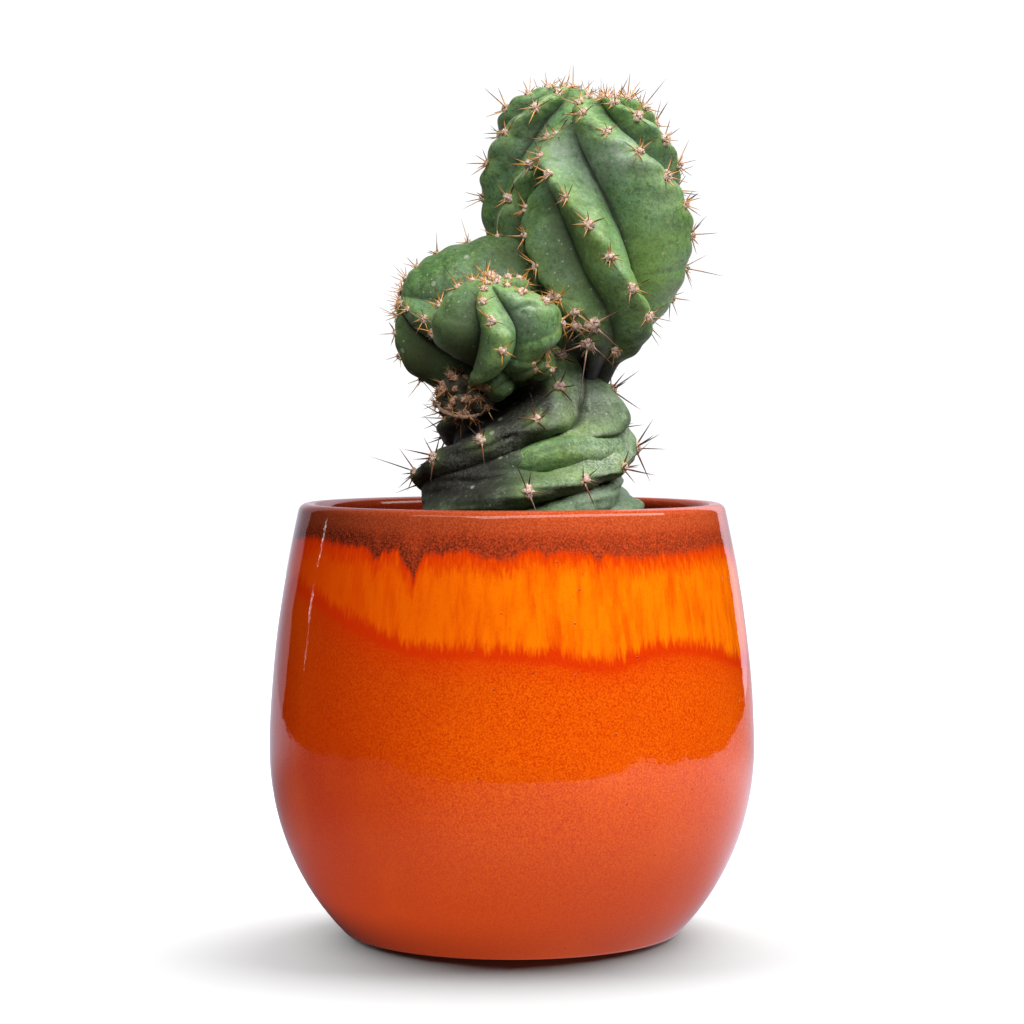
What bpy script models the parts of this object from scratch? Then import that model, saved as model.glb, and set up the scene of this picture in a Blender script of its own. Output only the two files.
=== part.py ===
"""A potted cereus cactus: a glazed round pot, its soil, and one grown plant with its spines.

The plant is made of ribbed stems. A stem is a stack of levels, each with its centre, how far the rib
crests reach from it and how far the ribs have turned there. A rib has its own bearing and strength.
Lengths in the stem tables are millimetres and bearings are degrees, from the front round to the right.
"""

import math
import random
from dataclasses import dataclass

import bmesh
import bpy
import numpy as np
from mathutils import Vector

MM = 0.001
GAP = 0.3
CREASE_DEG = 60.0

# Pot, in millimetres
POT_SIDES = 52
POT_HEIGHT = 120.0
BELLY_RADIUS = 67.4
BELLY_HEIGHT = 52.0
BELLY_DROP = 70.5
SHOULDER_INSET = 8.6
SHOULDER_POWER = 1.8
WALL = 5.2
LIP_RADIUS = 2.5
FLOOR_THICKNESS = 7.0
FLOOR_ROUND = 4.0
INNER_STEPS = 6
FOOT_RADIUS = 40.0
FOOT_HEIGHT = 1.2
FOOT_RING_WIDTH = 6.0
FOOT_HOLLOW = 1.6
FOOT_CHAMFER = 0.5
LOWEST_BELLY = 1.6
OUTER_STEPS = 13
OUTER_CROWDING = 1.25
LIP_STEPS = 5

# Soil, in millimetres
SOIL_LEVEL = 109.0
SOIL_RELIEF = 0.9
SOIL_RINGS = 6
SWELL_LENGTH = 55.0
GRAIN_LENGTH = 7.5

# Stump in the soil, in millimetres
STUMP_BOTTOM = 74.0
STUMP_BOTTOM_RADIUS = 16.0
STUMP_TOP_RADIUS = 22.0
STUMP_SHOULDER = (20.0, 114.0)
STUMP_SIDES = 32

# Areoles and spines, in millimetres
AREOLE_GAP = 9.0
AREOLE_FIRST = 2.2
AREOLE_GROWTH = 1.45
CREST_POINTS = 240
SPINE_RADIUS = 0.55
SPINE_SINK = 1.8
SPINE_OFFSET = 1.1
SPINE_SIDES = 3
SPINE_SEED = 21
FIRST_SWINGS_DEG = (70.0, 110.0, 250.0, 290.0)
SWING_VARIES_DEG = 30.0
SPREAD_DEG = (25.0, 62.0)
LENGTH_VARIES = (0.75, 1.1)
TIP_LEAN = 0.6
TIP_LEAN_REACH = 14.0

VERTICAL = (0.0, 0.0, 1.0)
FRONT = Vector((0.0, -1.0, 0.0))


@dataclass(frozen=True)
class Level:
    """One level of a stem: its centre, the reach of its crests, their turn and how deep its furrows are."""

    x: float
    y: float
    z: float
    reach: float
    turn: float
    depth: float = 1.0


@dataclass(frozen=True)
class Rib:
    """One rib: its bearing, its strength and its furrow's (one, or one a level), and the furrow's place.

    No spines grow on its bare base, a share of the stem's length.
    """

    bearing: float
    strength: object
    furrow: object
    share: float = 0.5
    bare_base: float = 0.0


@dataclass(frozen=True)
class Stem:
    """One ribbed stem: its heading, its levels from base to tip, its ribs and its spines."""

    heading: tuple
    levels: tuple
    ribs: tuple
    steps: int
    rows: int
    roundness: float
    spine_length: float
    spines_each: int
    bare_base: float
    areole_gap: float = AREOLE_GAP


TRUNK = Stem(
    heading=VERTICAL,
    levels=(
        Level(4, 0, 109.6, 23, -235, 0.1),
        Level(4, 0, 111.5, 29, -222, 0.7),
        Level(3, 0, 118, 32.5, -180),
        Level(2, 0, 124, 31.5, -136),
        Level(3.5, 0, 130, 30, -78),
        Level(5.5, 0, 136, 28, -44),
        Level(8, 0, 142, 25, -8),
        Level(10, 0, 148, 20, 2),
        Level(11, 1, 154, 16, 8),
        Level(11, 3, 161, 13, 12),
        Level(11, 4, 166, 8, 12),
        Level(11, 4, 168, 0, 12),
    ),
    ribs=(
        Rib(0, 1.0, (0.88, 0.88, 0.87, 0.86, 0.84, 0.78, 0.72, 0.72, 0.74, 0.74, 0.74, 0.74)),
        Rib(80, (0.84, 0.84, 0.84, 0.83, 0.82, 0.86, 0.98, 1.02, 1.0, 1.0, 1.0, 1.0), 0.88, 0.4, 0.56),
        Rib(138, 1.03, (0.87, 0.87, 0.87, 0.87, 0.87, 0.86, 0.86, 0.8, 0.78, 0.78, 0.78, 0.78), 0.6),
        Rib(198, (0.94, 0.94, 0.94, 0.94, 0.9, 0.8, 0.78, 0.8, 0.8, 0.8, 0.8, 0.8), 0.88, 0.5, 1.0),
        Rib(265, (1.03, 1.03, 1.03, 1.02, 1.02, 1.1, 1.15, 1.1, 1.0, 1.0, 1.0, 1.0), 0.86),
        Rib(312, 0.8, 0.86, 0.5, 1.0),
    ),
    steps=4,
    rows=25,
    roundness=1.2,
    spine_length=10.0,
    spines_each=3,
    bare_base=0.24,
    areole_gap=16.5,
)

HEAD = Stem(
    heading=VERTICAL,
    levels=(
        Level(20, 1, 151, 6, 88),
        Level(22.5, -2, 157.5, 7.5, 80),
        Level(25, -5, 163, 14, 70),
        Level(26.5, -6, 171.5, 19, 52),
        Level(26.5, -7, 182, 21.8, 27),
        Level(26.5, -7, 195, 23.2, 5),
        Level(26.5, -6, 207, 21.8, -20),
        Level(26.5, -5, 217, 18.8, -56),
        Level(26.5, -4, 225, 14.5, -92),
        Level(26.8, -3, 230.5, 8.5, -135),
        Level(27, -3, 231.5, 3, -170, 0.6),
        Level(27, -3, 230.8, 0, -185, 0.2),
    ),
    ribs=(
        Rib(-90, 1.0, 0.66, 0.52),
        Rib(-28, 1.0, 0.46, 0.4),
        Rib(78, (0.6, 0.65, 0.78, 0.9, 0.98, 1.0, 1.0, 1.0, 1.0, 1.0, 1.0, 1.0), 0.46, 0.5),
        Rib(140, 0.97, 0.5),
        Rib(210, 0.95, 0.52),
    ),
    steps=6,
    rows=23,
    roundness=0.3,
    spine_length=8.0,
    spines_each=2,
    bare_base=0.2,
    areole_gap=10.5,
)

BACK_STEM = Stem(
    heading=VERTICAL,
    levels=(
        Level(7, 6, 150, 13, -150),
        Level(7, 10, 164, 15, -142),
        Level(8.5, 13, 180, 16.5, -128),
        Level(9, 14, 195, 17.6, -113),
        Level(9.3, 14, 207, 17.9, -94),
        Level(9.8, 14, 217.5, 17.4, -66),
        Level(10.6, 13.5, 226, 15.8, -38),
        Level(11.8, 13, 232, 12, -8),
        Level(13, 13, 235.3, 7, 10),
        Level(13.5, 12, 236.2, 3, 20, 0.6),
        Level(13.5, 12, 235.6, 0, 30, 0.2),
    ),
    ribs=(
        Rib(0, 1.0, 0.58),
        Rib(62, 1.0, 0.58),
        Rib(136, 1.0, 0.58),
        Rib(208, 1.0, 0.58),
        Rib(285, 1.0, 0.58),
    ),
    steps=6,
    rows=18,
    roundness=0.4,
    spine_length=8.0,
    spines_each=2,
    bare_base=0.35,
    areole_gap=11.5,
)

LEFT_SHOOT = Stem(
    heading=(-0.965, -0.12, 0.225),
    levels=(
        Level(8, 5, 168, 15, 0),
        Level(2, 4, 169.4, 20, 0),
        Level(-3.7, 3, 170.7, 22, 0),
        Level(-11.5, 2, 172.5, 22.3, 0),
        Level(-19.3, 1, 174.3, 20, 0),
        Level(-26, 0, 175.8, 15, 0),
        Level(-30, -1, 176.7, 8, 0),
        Level(-31, -1, 177, 3, 0, 0.6),
        Level(-30.8, -1, 176.9, 0, 0, 0.2),
    ),
    ribs=(
        Rib(90, (1.0, 1.0, 1.02, 1.0, 0.9, 0.83, 0.85, 1.0, 1.0), 0.5),
        Rib(150, 0.95, 0.55),
        Rib(212, 0.95, 0.55),
        Rib(272, (1.0, 1.0, 1.0, 0.98, 1.08, 1.2, 1.35, 1.2, 1.0), 0.62),
        Rib(342, 0.92, 0.6, 0.2),
    ),
    steps=6,
    rows=17,
    roundness=0.5,
    spine_length=7.0,
    spines_each=2,
    bare_base=0.3,
)

FRONT_SHOOT = Stem(
    heading=(-0.06, -0.42, 0.905),
    levels=(
        Level(2, -6, 150, 7, -22),
        Level(-1, -13, 154, 10, -16),
        Level(-3, -19, 159, 14, -8),
        Level(-4, -22, 165, 16.5, 0),
        Level(-4.5, -25, 171, 16.3, 4),
        Level(-4.7, -27, 176, 12.8, 6),
        Level(-4.8, -28.5, 179.5, 6.5, 8),
        Level(-4.8, -28.8, 180.2, 2.5, 8, 0.6),
        Level(-4.8, -28.5, 179.6, 0, 8, 0.2),
    ),
    ribs=(
        Rib(0, 1.0, 0.52, 0.3),
        Rib(76, (0.55, 0.6, 0.78, 1.02, 1.1, 1.08, 1.0, 1.0, 1.0), 0.5),
        Rib(144, 1.0, 0.55),
        Rib(206, 1.0, 0.55),
        Rib(272, (0.7, 0.8, 0.94, 1.02, 1.04, 1.04, 1.0, 1.0, 1.0), 0.52, 0.68),
    ),
    steps=6,
    rows=16,
    roundness=0.6,
    spine_length=6.5,
    spines_each=2,
    bare_base=0.3,
)

TRUNK_FOLD = Stem(
    heading=(0.7, 0.7, 0.05),
    levels=(
        Level(-1, -23, 130.5, 1.5, 0),
        Level(5, -23, 132.5, 3.8, 0),
        Level(13, -20.5, 134.0, 4.8, 0),
        Level(22, -14.5, 134.0, 5.0, 0),
        Level(28, -5, 134.2, 4.6, 0),
        Level(29.5, 5, 135.0, 3.0, 0),
        Level(29, 9, 135.4, 0, 0),
    ),
    ribs=tuple(Rib(60 * number, 1.0, 0.97, 0.5, 1.0) for number in range(6)),
    steps=2,
    rows=12,
    roundness=1.0,
    spine_length=9.0,
    spines_each=1,
    bare_base=0.9,
)


def bud(x, y, z, size, heading):
    """A small round offset, about as wide as twice its size, with its own five soft ribs."""
    profile = ((-0.9, 0.45), (-0.4, 0.95), (0.2, 1.0), (0.75, 0.62), (0.85, 0.0))
    way = Vector(heading).normalized() * size
    levels = []
    for rise, reach in profile:
        levels.append(Level(x + way.x * rise, y + way.y * rise, z + way.z * rise, size * reach, 0))
    ribs = [Rib(72 * number + 20, 1.0, 0.82) for number in range(5)]
    return Stem(heading, tuple(levels), tuple(ribs), 2, 6, 0.8, 6.0, 1, 0.62, 7.0)


BUDS = (
    bud(-9, -17, 152, 5.0, (-0.3, -0.8, 0.2)),
    bud(-14.5, -16, 150, 5.0, (-0.6, -0.7, 0.1)),
    bud(-17.5, -12, 146, 5.5, (-0.9, -0.4, 0.1)),
    bud(-12, -18, 146, 4.6, (-0.4, -0.9, -0.1)),
    bud(9, -20, 156, 4.8, (0.5, -0.8, 0.2)),
    bud(4, -23, 159.5, 5.2, (0.4, -0.9, 0.1)),
    bud(21.5, -10, 162.5, 4.0, (0.0, -1.0, 0.0)),
)

STEMS = (TRUNK, TRUNK_FOLD, HEAD, BACK_STEM, LEFT_SHOOT, FRONT_SHOOT) + BUDS


def remove_everything():
    """Empty the scene before the parts are made."""
    for thing in list(bpy.data.objects):
        bpy.data.objects.remove(thing, do_unlink=True)


def finish_material(name, colour, roughness, coat):
    """A plain Principled material with one colour, roughness and clear coat."""
    material = bpy.data.materials.new(name)
    material.use_nodes = True
    surface = material.node_tree.nodes["Principled BSDF"]
    surface.inputs["Base Color"].default_value = (*colour, 1.0)
    surface.inputs["Roughness"].default_value = roughness
    surface.inputs["Metallic"].default_value = 0.0
    surface.inputs["Coat Weight"].default_value = coat
    return material


def shade(mesh):
    """Shade a mesh smooth except across its sharp edges."""
    mesh.shade_smooth()
    mesh.set_sharp_from_angle(angle=math.radians(CREASE_DEG))


def place_object(name, mesh, material):
    """Put a mesh in the scene under a name, with its material."""
    thing = bpy.data.objects.new(name, mesh)
    bpy.context.collection.objects.link(thing)
    mesh.materials.append(material)
    shade(mesh)
    return thing


def circle(radius, height, sides, shift=0.0):
    """Points of a level circle, moved along X by a shift. A circle of no radius is one point."""
    if radius == 0.0:
        return [(shift, 0.0, height)]
    angles = [2.0 * math.pi * side / sides for side in range(sides)]
    return [(shift + radius * math.cos(angle), radius * math.sin(angle), height) for angle in angles]


def ringed_mesh(name, rings):
    """A closed mesh through rings of points in millimetres, whose first and last rings are one point each."""
    shape = bmesh.new()
    rows = [[shape.verts.new(Vector(place) * MM) for place in ring] for ring in rings]
    for low, high in zip(rows, rows[1:]):
        sides = max(len(low), len(high))
        for side in range(sides):
            after = (side + 1) % sides
            corners = (
                low[side % len(low)],
                low[after % len(low)],
                high[after % len(high)],
                high[side % len(high)],
            )
            shape.faces.new(list(dict.fromkeys(corners)))
    bmesh.ops.triangulate(shape, faces=shape.faces)
    bmesh.ops.recalc_face_normals(shape, faces=shape.faces)
    mesh = bpy.data.meshes.new(name)
    shape.to_mesh(mesh)
    shape.free()
    return mesh


def belly_radius(height):
    """Outer radius of the pot at a height: an ellipse below the belly and a slower power curve above it."""
    if height < BELLY_HEIGHT:
        return BELLY_RADIUS * math.sqrt(1.0 - ((BELLY_HEIGHT - height) / BELLY_DROP) ** 2)
    rise = (height - BELLY_HEIGHT) / (POT_HEIGHT - BELLY_HEIGHT)
    return BELLY_RADIUS - SHOULDER_INSET * rise ** SHOULDER_POWER


def inner_profile():
    """Points down the pot's inside, a wall's thickness inside the outer face, to the edge of its flat floor."""
    high = POT_HEIGHT - 2.0 * LIP_RADIUS
    low = FLOOR_THICKNESS + FLOOR_ROUND
    points = []
    for step in range(INNER_STEPS + 1):
        height = high + (low - high) * step / INNER_STEPS
        points.append((belly_radius(height) - WALL, height))
    floor_radius = belly_radius(FLOOR_THICKNESS) - WALL
    points.append((floor_radius - 0.5 * FLOOR_ROUND, FLOOR_THICKNESS + 0.2 * FLOOR_ROUND))
    points.append((floor_radius - 1.5 * FLOOR_ROUND, FLOOR_THICKNESS))
    return points


def inner_radius(height):
    """Radius of the pot's inside at a height, along the straight stretches of its section."""
    points = inner_profile()[::-1]
    return float(np.interp(height, [point[1] for point in points], [point[0] for point in points]))


def lip_profile():
    """Points over the round lip, from the outer face to the inner one."""
    height = POT_HEIGHT - LIP_RADIUS
    middle = belly_radius(height) - LIP_RADIUS
    angles = [math.pi * step / LIP_STEPS for step in range(LIP_STEPS + 1)]
    return [(middle + LIP_RADIUS * math.cos(angle), height + LIP_RADIUS * math.sin(angle)) for angle in angles]


def pot_profile():
    """The pot's section from the middle of its underside, up the outside, over the lip and down inside."""
    hollow_radius = FOOT_RADIUS - FOOT_RING_WIDTH
    points = [(0.0, FOOT_HOLLOW), (hollow_radius - 2.0 * FOOT_CHAMFER, FOOT_HOLLOW), (hollow_radius, 0.0)]
    points += [(FOOT_RADIUS - FOOT_CHAMFER, 0.0), (FOOT_RADIUS, FOOT_CHAMFER), (FOOT_RADIUS, FOOT_HEIGHT)]
    for step in range(OUTER_STEPS):
        rise = (step / OUTER_STEPS) ** OUTER_CROWDING
        height = LOWEST_BELLY + (POT_HEIGHT - LIP_RADIUS - LOWEST_BELLY) * rise
        points.append((belly_radius(height), height))
    return points + lip_profile() + inner_profile() + [(0.0, FLOOR_THICKNESS)]


def pot_mesh():
    """The glazed pot, turned from its section."""
    return ringed_mesh("glazed_pot", [circle(radius, height, POT_SIDES) for radius, height in pot_profile()])


def soil_height(x, y):
    """Height of the soil's surface: its level with low swells and grains from crossed waves."""
    swell = math.sin(2.0 * math.pi * x / SWELL_LENGTH + 1.3) * math.cos(2.0 * math.pi * y / SWELL_LENGTH)
    along = 2.0 * math.pi * (0.9 * x + 0.45 * y) / GRAIN_LENGTH
    across = 2.0 * math.pi * (0.9 * y - 0.3 * x) / GRAIN_LENGTH
    return SOIL_LEVEL - SOIL_RELIEF + SOIL_RELIEF * (0.45 * swell + 0.4 * math.sin(along) * math.sin(across))


def soil_mesh():
    """The soil: a fill that follows the pot's inside, with a rough top and a plain hole for the stump."""
    clearance = 1.5 * GAP
    surface = SOIL_LEVEL - SOIL_RELIEF
    shift = TRUNK.levels[0].x
    widen = 1.0 / math.cos(math.pi / POT_SIDES)
    hole_radius = (STUMP_TOP_RADIUS + GAP) * widen
    edge = inner_radius(surface) - clearance
    rings = [circle(0.0, FLOOR_THICKNESS + GAP, POT_SIDES)]
    for radius, height in inner_profile()[::-1]:
        if height + GAP < surface:
            rings.append(circle(radius - clearance, height + GAP, POT_SIDES))
    rings.append(circle(edge, surface, POT_SIDES))
    for ring in range(1, SOIL_RINGS):
        share = ring / SOIL_RINGS
        level = circle(edge + (hole_radius - edge) * share, surface, POT_SIDES, shift * share)
        rings.append([(x, y, soil_height(x, y)) for x, y, _ in level])
    rings.append(circle(hole_radius, surface, POT_SIDES, shift))
    rings.append(circle((STUMP_BOTTOM_RADIUS + GAP) * widen, STUMP_BOTTOM - GAP, POT_SIDES, shift))
    rings.append(circle(0.0, STUMP_BOTTOM - GAP, POT_SIDES, shift))
    return ringed_mesh("potting_soil", rings)


def stump_mesh():
    """The round stump under the trunk, which stands in the soil."""
    shift = TRUNK.levels[0].x
    profile = (
        (0.0, STUMP_BOTTOM),
        (STUMP_BOTTOM_RADIUS, STUMP_BOTTOM),
        (STUMP_TOP_RADIUS, SOIL_LEVEL),
        STUMP_SHOULDER,
        (0.0, STUMP_SHOULDER[1]),
    )
    return ringed_mesh("stump", [circle(radius, height, STUMP_SIDES, shift) for radius, height in profile])


def through(values, where):
    """A smooth curve through evenly placed values, read at positions from 0 to 1."""
    values = np.asarray(values, dtype=float)
    slopes = np.gradient(values, axis=0)
    place = np.clip(np.asarray(where, dtype=float), 0.0, 1.0) * (len(values) - 1)
    low = np.minimum(place.astype(int), len(values) - 2)
    t = place - low
    smooth = values[low] + (values[low + 1] - values[low]) * (3.0 * t ** 2 - 2.0 * t ** 3)
    return smooth + slopes[low] * (t - 2.0 * t ** 2 + t ** 3) + slopes[low + 1] * (t ** 3 - t ** 2)


class StemShape:
    """The surface of a ribbed stem, worked out from its levels and ribs."""

    def __init__(self, stem):
        self.stem = stem
        self.heading = Vector(stem.heading).normalized()
        self.front = (FRONT - self.heading * FRONT.dot(self.heading)).normalized()
        self.right = self.heading.cross(self.front)

    def level_values(self, name, where):
        """One of the levels' values along the stem."""
        return through([getattr(level, name) for level in self.stem.levels], where)

    def centre(self, where):
        """The stem's centre line."""
        return np.stack([self.level_values(axis, where) for axis in "xyz"], axis=-1)

    def reach(self, share, where):
        """Reach along the stem of a crest or furrow with a share of the levels' reach, one or one a level."""
        shares = share if isinstance(share, tuple) else (share,) * len(self.stem.levels)
        share_here = 1.0 + (through(shares, where) - 1.0) * self.level_values("depth", where)
        return np.maximum(self.level_values("reach", where), 0.0) * share_here

    def crest_place(self, rib, where):
        """Bearing in radians and reach of a rib's crest along the stem."""
        return np.radians(rib.bearing + self.level_values("turn", where)), self.reach(rib.strength, where)

    def point(self, where, bearing, reach):
        """Place at a bearing and a reach from the stem's centre."""
        forward = (reach * np.cos(bearing))[..., None] * np.array(self.front)
        sideways = (reach * np.sin(bearing))[..., None] * np.array(self.right)
        return self.centre(where) + forward + sideways

    def face_point(self, where, crest, floor, share):
        """Points part of the way from a crest to a furrow: flat faces with a rounded crest."""
        soft = self.stem.roundness
        fall = (math.sqrt(share ** 2 + soft ** 2) - soft) / (math.sqrt(1.0 + soft ** 2) - soft)
        bearing = crest[0] + (floor[0] - crest[0]) * share
        return self.point(where, bearing, crest[1] + (floor[1] - crest[1]) * fall)

    def grid(self):
        """Rows of points round the stem: each column runs along a crest, a furrow or a line between."""
        stem = self.stem
        where = np.linspace(0.0, 1.0, stem.rows)
        columns = []
        half = stem.steps // 2
        crests = [self.crest_place(rib, where) for rib in stem.ribs]
        crests.append((crests[0][0] + 2.0 * math.pi, crests[0][1]))
        for rib, crest, following in zip(stem.ribs, crests, crests[1:]):
            floor = (crest[0] + (following[0] - crest[0]) * rib.share, self.reach(rib.furrow, where))
            columns += [self.face_point(where, crest, floor, step / half) for step in range(half)]
            columns += [self.face_point(where, following, floor, 1.0 - step / half) for step in range(half)]
        return np.stack(columns, axis=1)

    def mesh(self, name):
        """A closed mesh of the stem, with a pole at each end."""
        grid = self.grid()
        return ringed_mesh(name, [[grid[0].mean(axis=0)], *grid[:-1], [grid[-1].mean(axis=0)]])

    def areoles(self):
        """Place, outward direction and crest direction of each areole, from the tip down each rib."""
        found = []
        for rib in self.stem.ribs:
            where = np.linspace(1.0, max(self.stem.bare_base, rib.bare_base), CREST_POINTS)
            line = self.point(where, *self.crest_place(rib, where))
            centre = self.centre(where)
            travelled = np.concatenate([[0.0], np.cumsum(np.linalg.norm(np.diff(line, axis=0), axis=1))])
            wanted, step = AREOLE_FIRST, AREOLE_FIRST
            while wanted < travelled[-1]:
                index = int(np.searchsorted(travelled, wanted))
                before, after = max(index - 3, 0), min(index + 3, len(line) - 1)
                along = Vector(line[before] - line[after]).normalized()
                away = Vector(line[index] - centre[index]).normalized()
                away += self.heading * TIP_LEAN * max(0.0, 1.0 - wanted / TIP_LEAN_REACH)
                outward = (away - along * away.dot(along)).normalized()
                found.append((Vector(line[index]), outward, along))
                step = min(step * AREOLE_GROWTH, self.stem.areole_gap)
                wanted += step
        return found


def spine_mesh(root, outward, along, spread_deg, swing_deg, length):
    """A needle from under the skin out to its point, leaning from the outward way towards its swing."""
    side = outward.cross(along)
    spread, swing = math.radians(spread_deg), math.radians(swing_deg)
    lean = along * math.cos(swing) + side * math.sin(swing)
    aim = (outward * math.cos(spread) + lean * math.sin(spread)).normalized()
    foot = root - outward * SPINE_SINK + side * math.copysign(SPINE_OFFSET, math.sin(swing))
    first = aim.orthogonal().normalized()
    second = aim.cross(first)
    angles = [2.0 * math.pi * corner / SPINE_SIDES for corner in range(SPINE_SIDES)]
    ring = [foot + (first * math.cos(angle) + second * math.sin(angle)) * SPINE_RADIUS for angle in angles]
    return ringed_mesh("spine", [[foot], ring, [foot + aim * (length + SPINE_SINK)]])


def spine_meshes(shape, draw):
    """Spines of one stem, spread evenly round each areole."""
    stem = shape.stem
    meshes = []
    for root, outward, along in shape.areoles():
        first_swing = draw.choice(FIRST_SWINGS_DEG)
        for number in range(stem.spines_each):
            swing = first_swing + number * 360.0 / stem.spines_each
            swing += draw.uniform(-SWING_VARIES_DEG, SWING_VARIES_DEG)
            spread = draw.uniform(*SPREAD_DEG)
            length = stem.spine_length * draw.uniform(*LENGTH_VARIES)
            meshes.append(spine_mesh(root, outward, along, spread, swing, length))
    return meshes


def drop_scraps(mesh):
    """Keep only the largest connected body of a mesh, without loose scraps or sealed hollows."""
    shape = bmesh.new()
    shape.from_mesh(mesh)
    unseen = set(shape.verts)
    bodies = []
    while unseen:
        body = [unseen.pop()]
        for vertex in body:
            for edge in vertex.link_edges:
                other = edge.other_vert(vertex)
                if other in unseen:
                    unseen.remove(other)
                    body.append(other)
        bodies.append(body)
    bodies.sort(key=len)
    scraps = [vertex for body in bodies[:-1] for vertex in body]
    bmesh.ops.delete(shape, geom=scraps, context="VERTS")
    shape.to_mesh(mesh)
    shape.free()


def make_cactus(material):
    """The plant: all stems, the stump and every spine joined in one body."""
    draw = random.Random(SPINE_SEED)
    pieces = bpy.data.collections.new("cactus_pieces")
    bpy.context.scene.collection.children.link(pieces)
    shapes = [StemShape(stem) for stem in STEMS]
    meshes = [shape.mesh("stem") for shape in shapes[1:]] + [stump_mesh()]
    for shape in shapes:
        meshes += spine_meshes(shape, draw)
    for mesh in meshes:
        pieces.objects.link(bpy.data.objects.new(mesh.name, mesh))
    cactus = place_object("cactus", shapes[0].mesh("cactus"), material)
    union = cactus.modifiers.new("grown_together", "BOOLEAN")
    union.operation = "UNION"
    union.operand_type = "COLLECTION"
    union.collection = pieces
    union.solver = "MANIFOLD"
    bpy.context.view_layer.update()
    with bpy.context.temp_override(object=cactus, active_object=cactus):
        bpy.ops.object.modifier_apply(modifier=union.name)
    drop_scraps(cactus.data)
    shade(cactus.data)
    for thing in list(pieces.objects):
        bpy.data.objects.remove(thing, do_unlink=True)
    bpy.data.collections.remove(pieces)


def main():
    """Make the pot, the soil and the plant."""
    remove_everything()
    glaze = finish_material("orange_glaze", (0.62, 0.10, 0.02), 0.12, 1.0)
    soil = finish_material("potting_mix", (0.06, 0.04, 0.025), 0.95, 0.0)
    skin = finish_material("green_skin", (0.06, 0.16, 0.05), 0.45, 0.0)
    place_object("glazed_pot", pot_mesh(), glaze)
    place_object("potting_soil", soil_mesh(), soil)
    make_cactus(skin)


main()
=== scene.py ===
"""Looks of a cereus cactus in a round glazed pot.

The plant is a set of ribbed stems. A stem is a stack of levels, each with its centre, how far the rib crests
reach from it and how far the ribs have turned there. Its skin is a function of two parameters: how far round
the ribs a point lies and how far it is from the base to the tip.
Lengths in the tables are millimetres. Bearings are degrees from the front (-Y) round to the right (+X).
"""

from __future__ import annotations

import logging
import math
from dataclasses import dataclass, field, replace
from enum import Enum
from typing import Iterable, Union

import bpy
import numpy as np
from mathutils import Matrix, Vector


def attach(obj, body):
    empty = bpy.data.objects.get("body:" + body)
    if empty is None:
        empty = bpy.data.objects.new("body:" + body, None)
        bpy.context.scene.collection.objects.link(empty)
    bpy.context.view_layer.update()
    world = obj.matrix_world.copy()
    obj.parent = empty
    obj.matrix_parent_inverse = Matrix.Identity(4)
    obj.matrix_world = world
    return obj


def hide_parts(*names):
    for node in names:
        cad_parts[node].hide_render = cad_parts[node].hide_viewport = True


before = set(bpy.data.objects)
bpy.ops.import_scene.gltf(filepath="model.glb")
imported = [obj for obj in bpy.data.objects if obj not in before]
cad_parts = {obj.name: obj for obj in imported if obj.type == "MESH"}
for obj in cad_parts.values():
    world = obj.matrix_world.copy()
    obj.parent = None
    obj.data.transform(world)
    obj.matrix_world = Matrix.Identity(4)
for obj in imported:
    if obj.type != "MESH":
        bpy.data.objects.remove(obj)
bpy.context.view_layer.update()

LOG = logging.getLogger("potted_cactus")
MM = 0.001

Value = Union[float, str, tuple, "Wire"]
Shares = Union[float, tuple]
Amount = Union[float, np.ndarray]


def srgb(code: str) -> tuple:
    """Linear colour with full opacity of a hexadecimal code such as #4f7a4a."""
    channels = [int(code[start:start + 2], 16) / 255.0 for start in (1, 3, 5)]
    return (*(c / 12.92 if c <= 0.04045 else ((c + 0.055) / 1.055) ** 2.4 for c in channels), 1.0)


def through(values: Iterable, where: np.ndarray) -> np.ndarray:
    """A smooth curve through evenly placed values: cubic pieces whose slopes are central differences.

    Args:
        values: one value a level.
        where: positions from 0 to 1.

    Returns:
        The curve's value at each position.
    """
    values = np.asarray(values, dtype=float)
    slopes = np.gradient(values, axis=0)
    place = np.clip(np.asarray(where, dtype=float), 0.0, 1.0) * (len(values) - 1)
    low = np.minimum(place.astype(int), len(values) - 2)
    t = np.reshape(place - low, low.shape + (1,) * (values.ndim - 1))
    smooth = values[low] + (values[low + 1] - values[low]) * (3.0 * t ** 2 - 2.0 * t ** 3)
    return smooth + slopes[low] * (t - 2.0 * t ** 2 + t ** 3) + slopes[low + 1] * (t ** 3 - t ** 2)


def waves(points: np.ndarray, length: float, seed: int, count: int = 9) -> np.ndarray:
    """Smooth random relief: a sum of sine waves along random directions, each about one length long.

    Args:
        points: places, with x, y, z last.
        length: typical wavelength in the points' own unit.
        seed: number that fixes the random directions.
        count: how many waves are summed.

    Returns:
        Values of about -1 to 1.
    """
    draw = np.random.default_rng(seed)
    directions = unit(draw.normal(size=(count, 3)))
    lengths = length * draw.uniform(0.7, 1.5, count)
    phases = draw.uniform(0.0, 2.0 * math.pi, count)
    angle = points @ (directions / lengths[:, None]).T * 2.0 * math.pi + phases
    return np.sin(angle).sum(axis=-1) / math.sqrt(count)


def unit(vectors: np.ndarray) -> np.ndarray:
    """Vectors scaled to length one; those of no length stay as they are."""
    return vectors / np.maximum(np.linalg.norm(vectors, axis=-1, keepdims=True), 1e-9)


def grid_normals(grid: np.ndarray) -> np.ndarray:
    """Outward unit normals of a closed-round grid: the cross product of its round and upward differences."""
    across = np.roll(grid, -1, axis=1) - np.roll(grid, 1, axis=1)
    return unit(np.cross(across, np.gradient(grid, axis=0)))


def bell(offset: np.ndarray, width: float) -> np.ndarray:
    """A bell curve exp(-(offset/width)^2)."""
    return np.exp(-((offset / width) ** 2))


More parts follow.
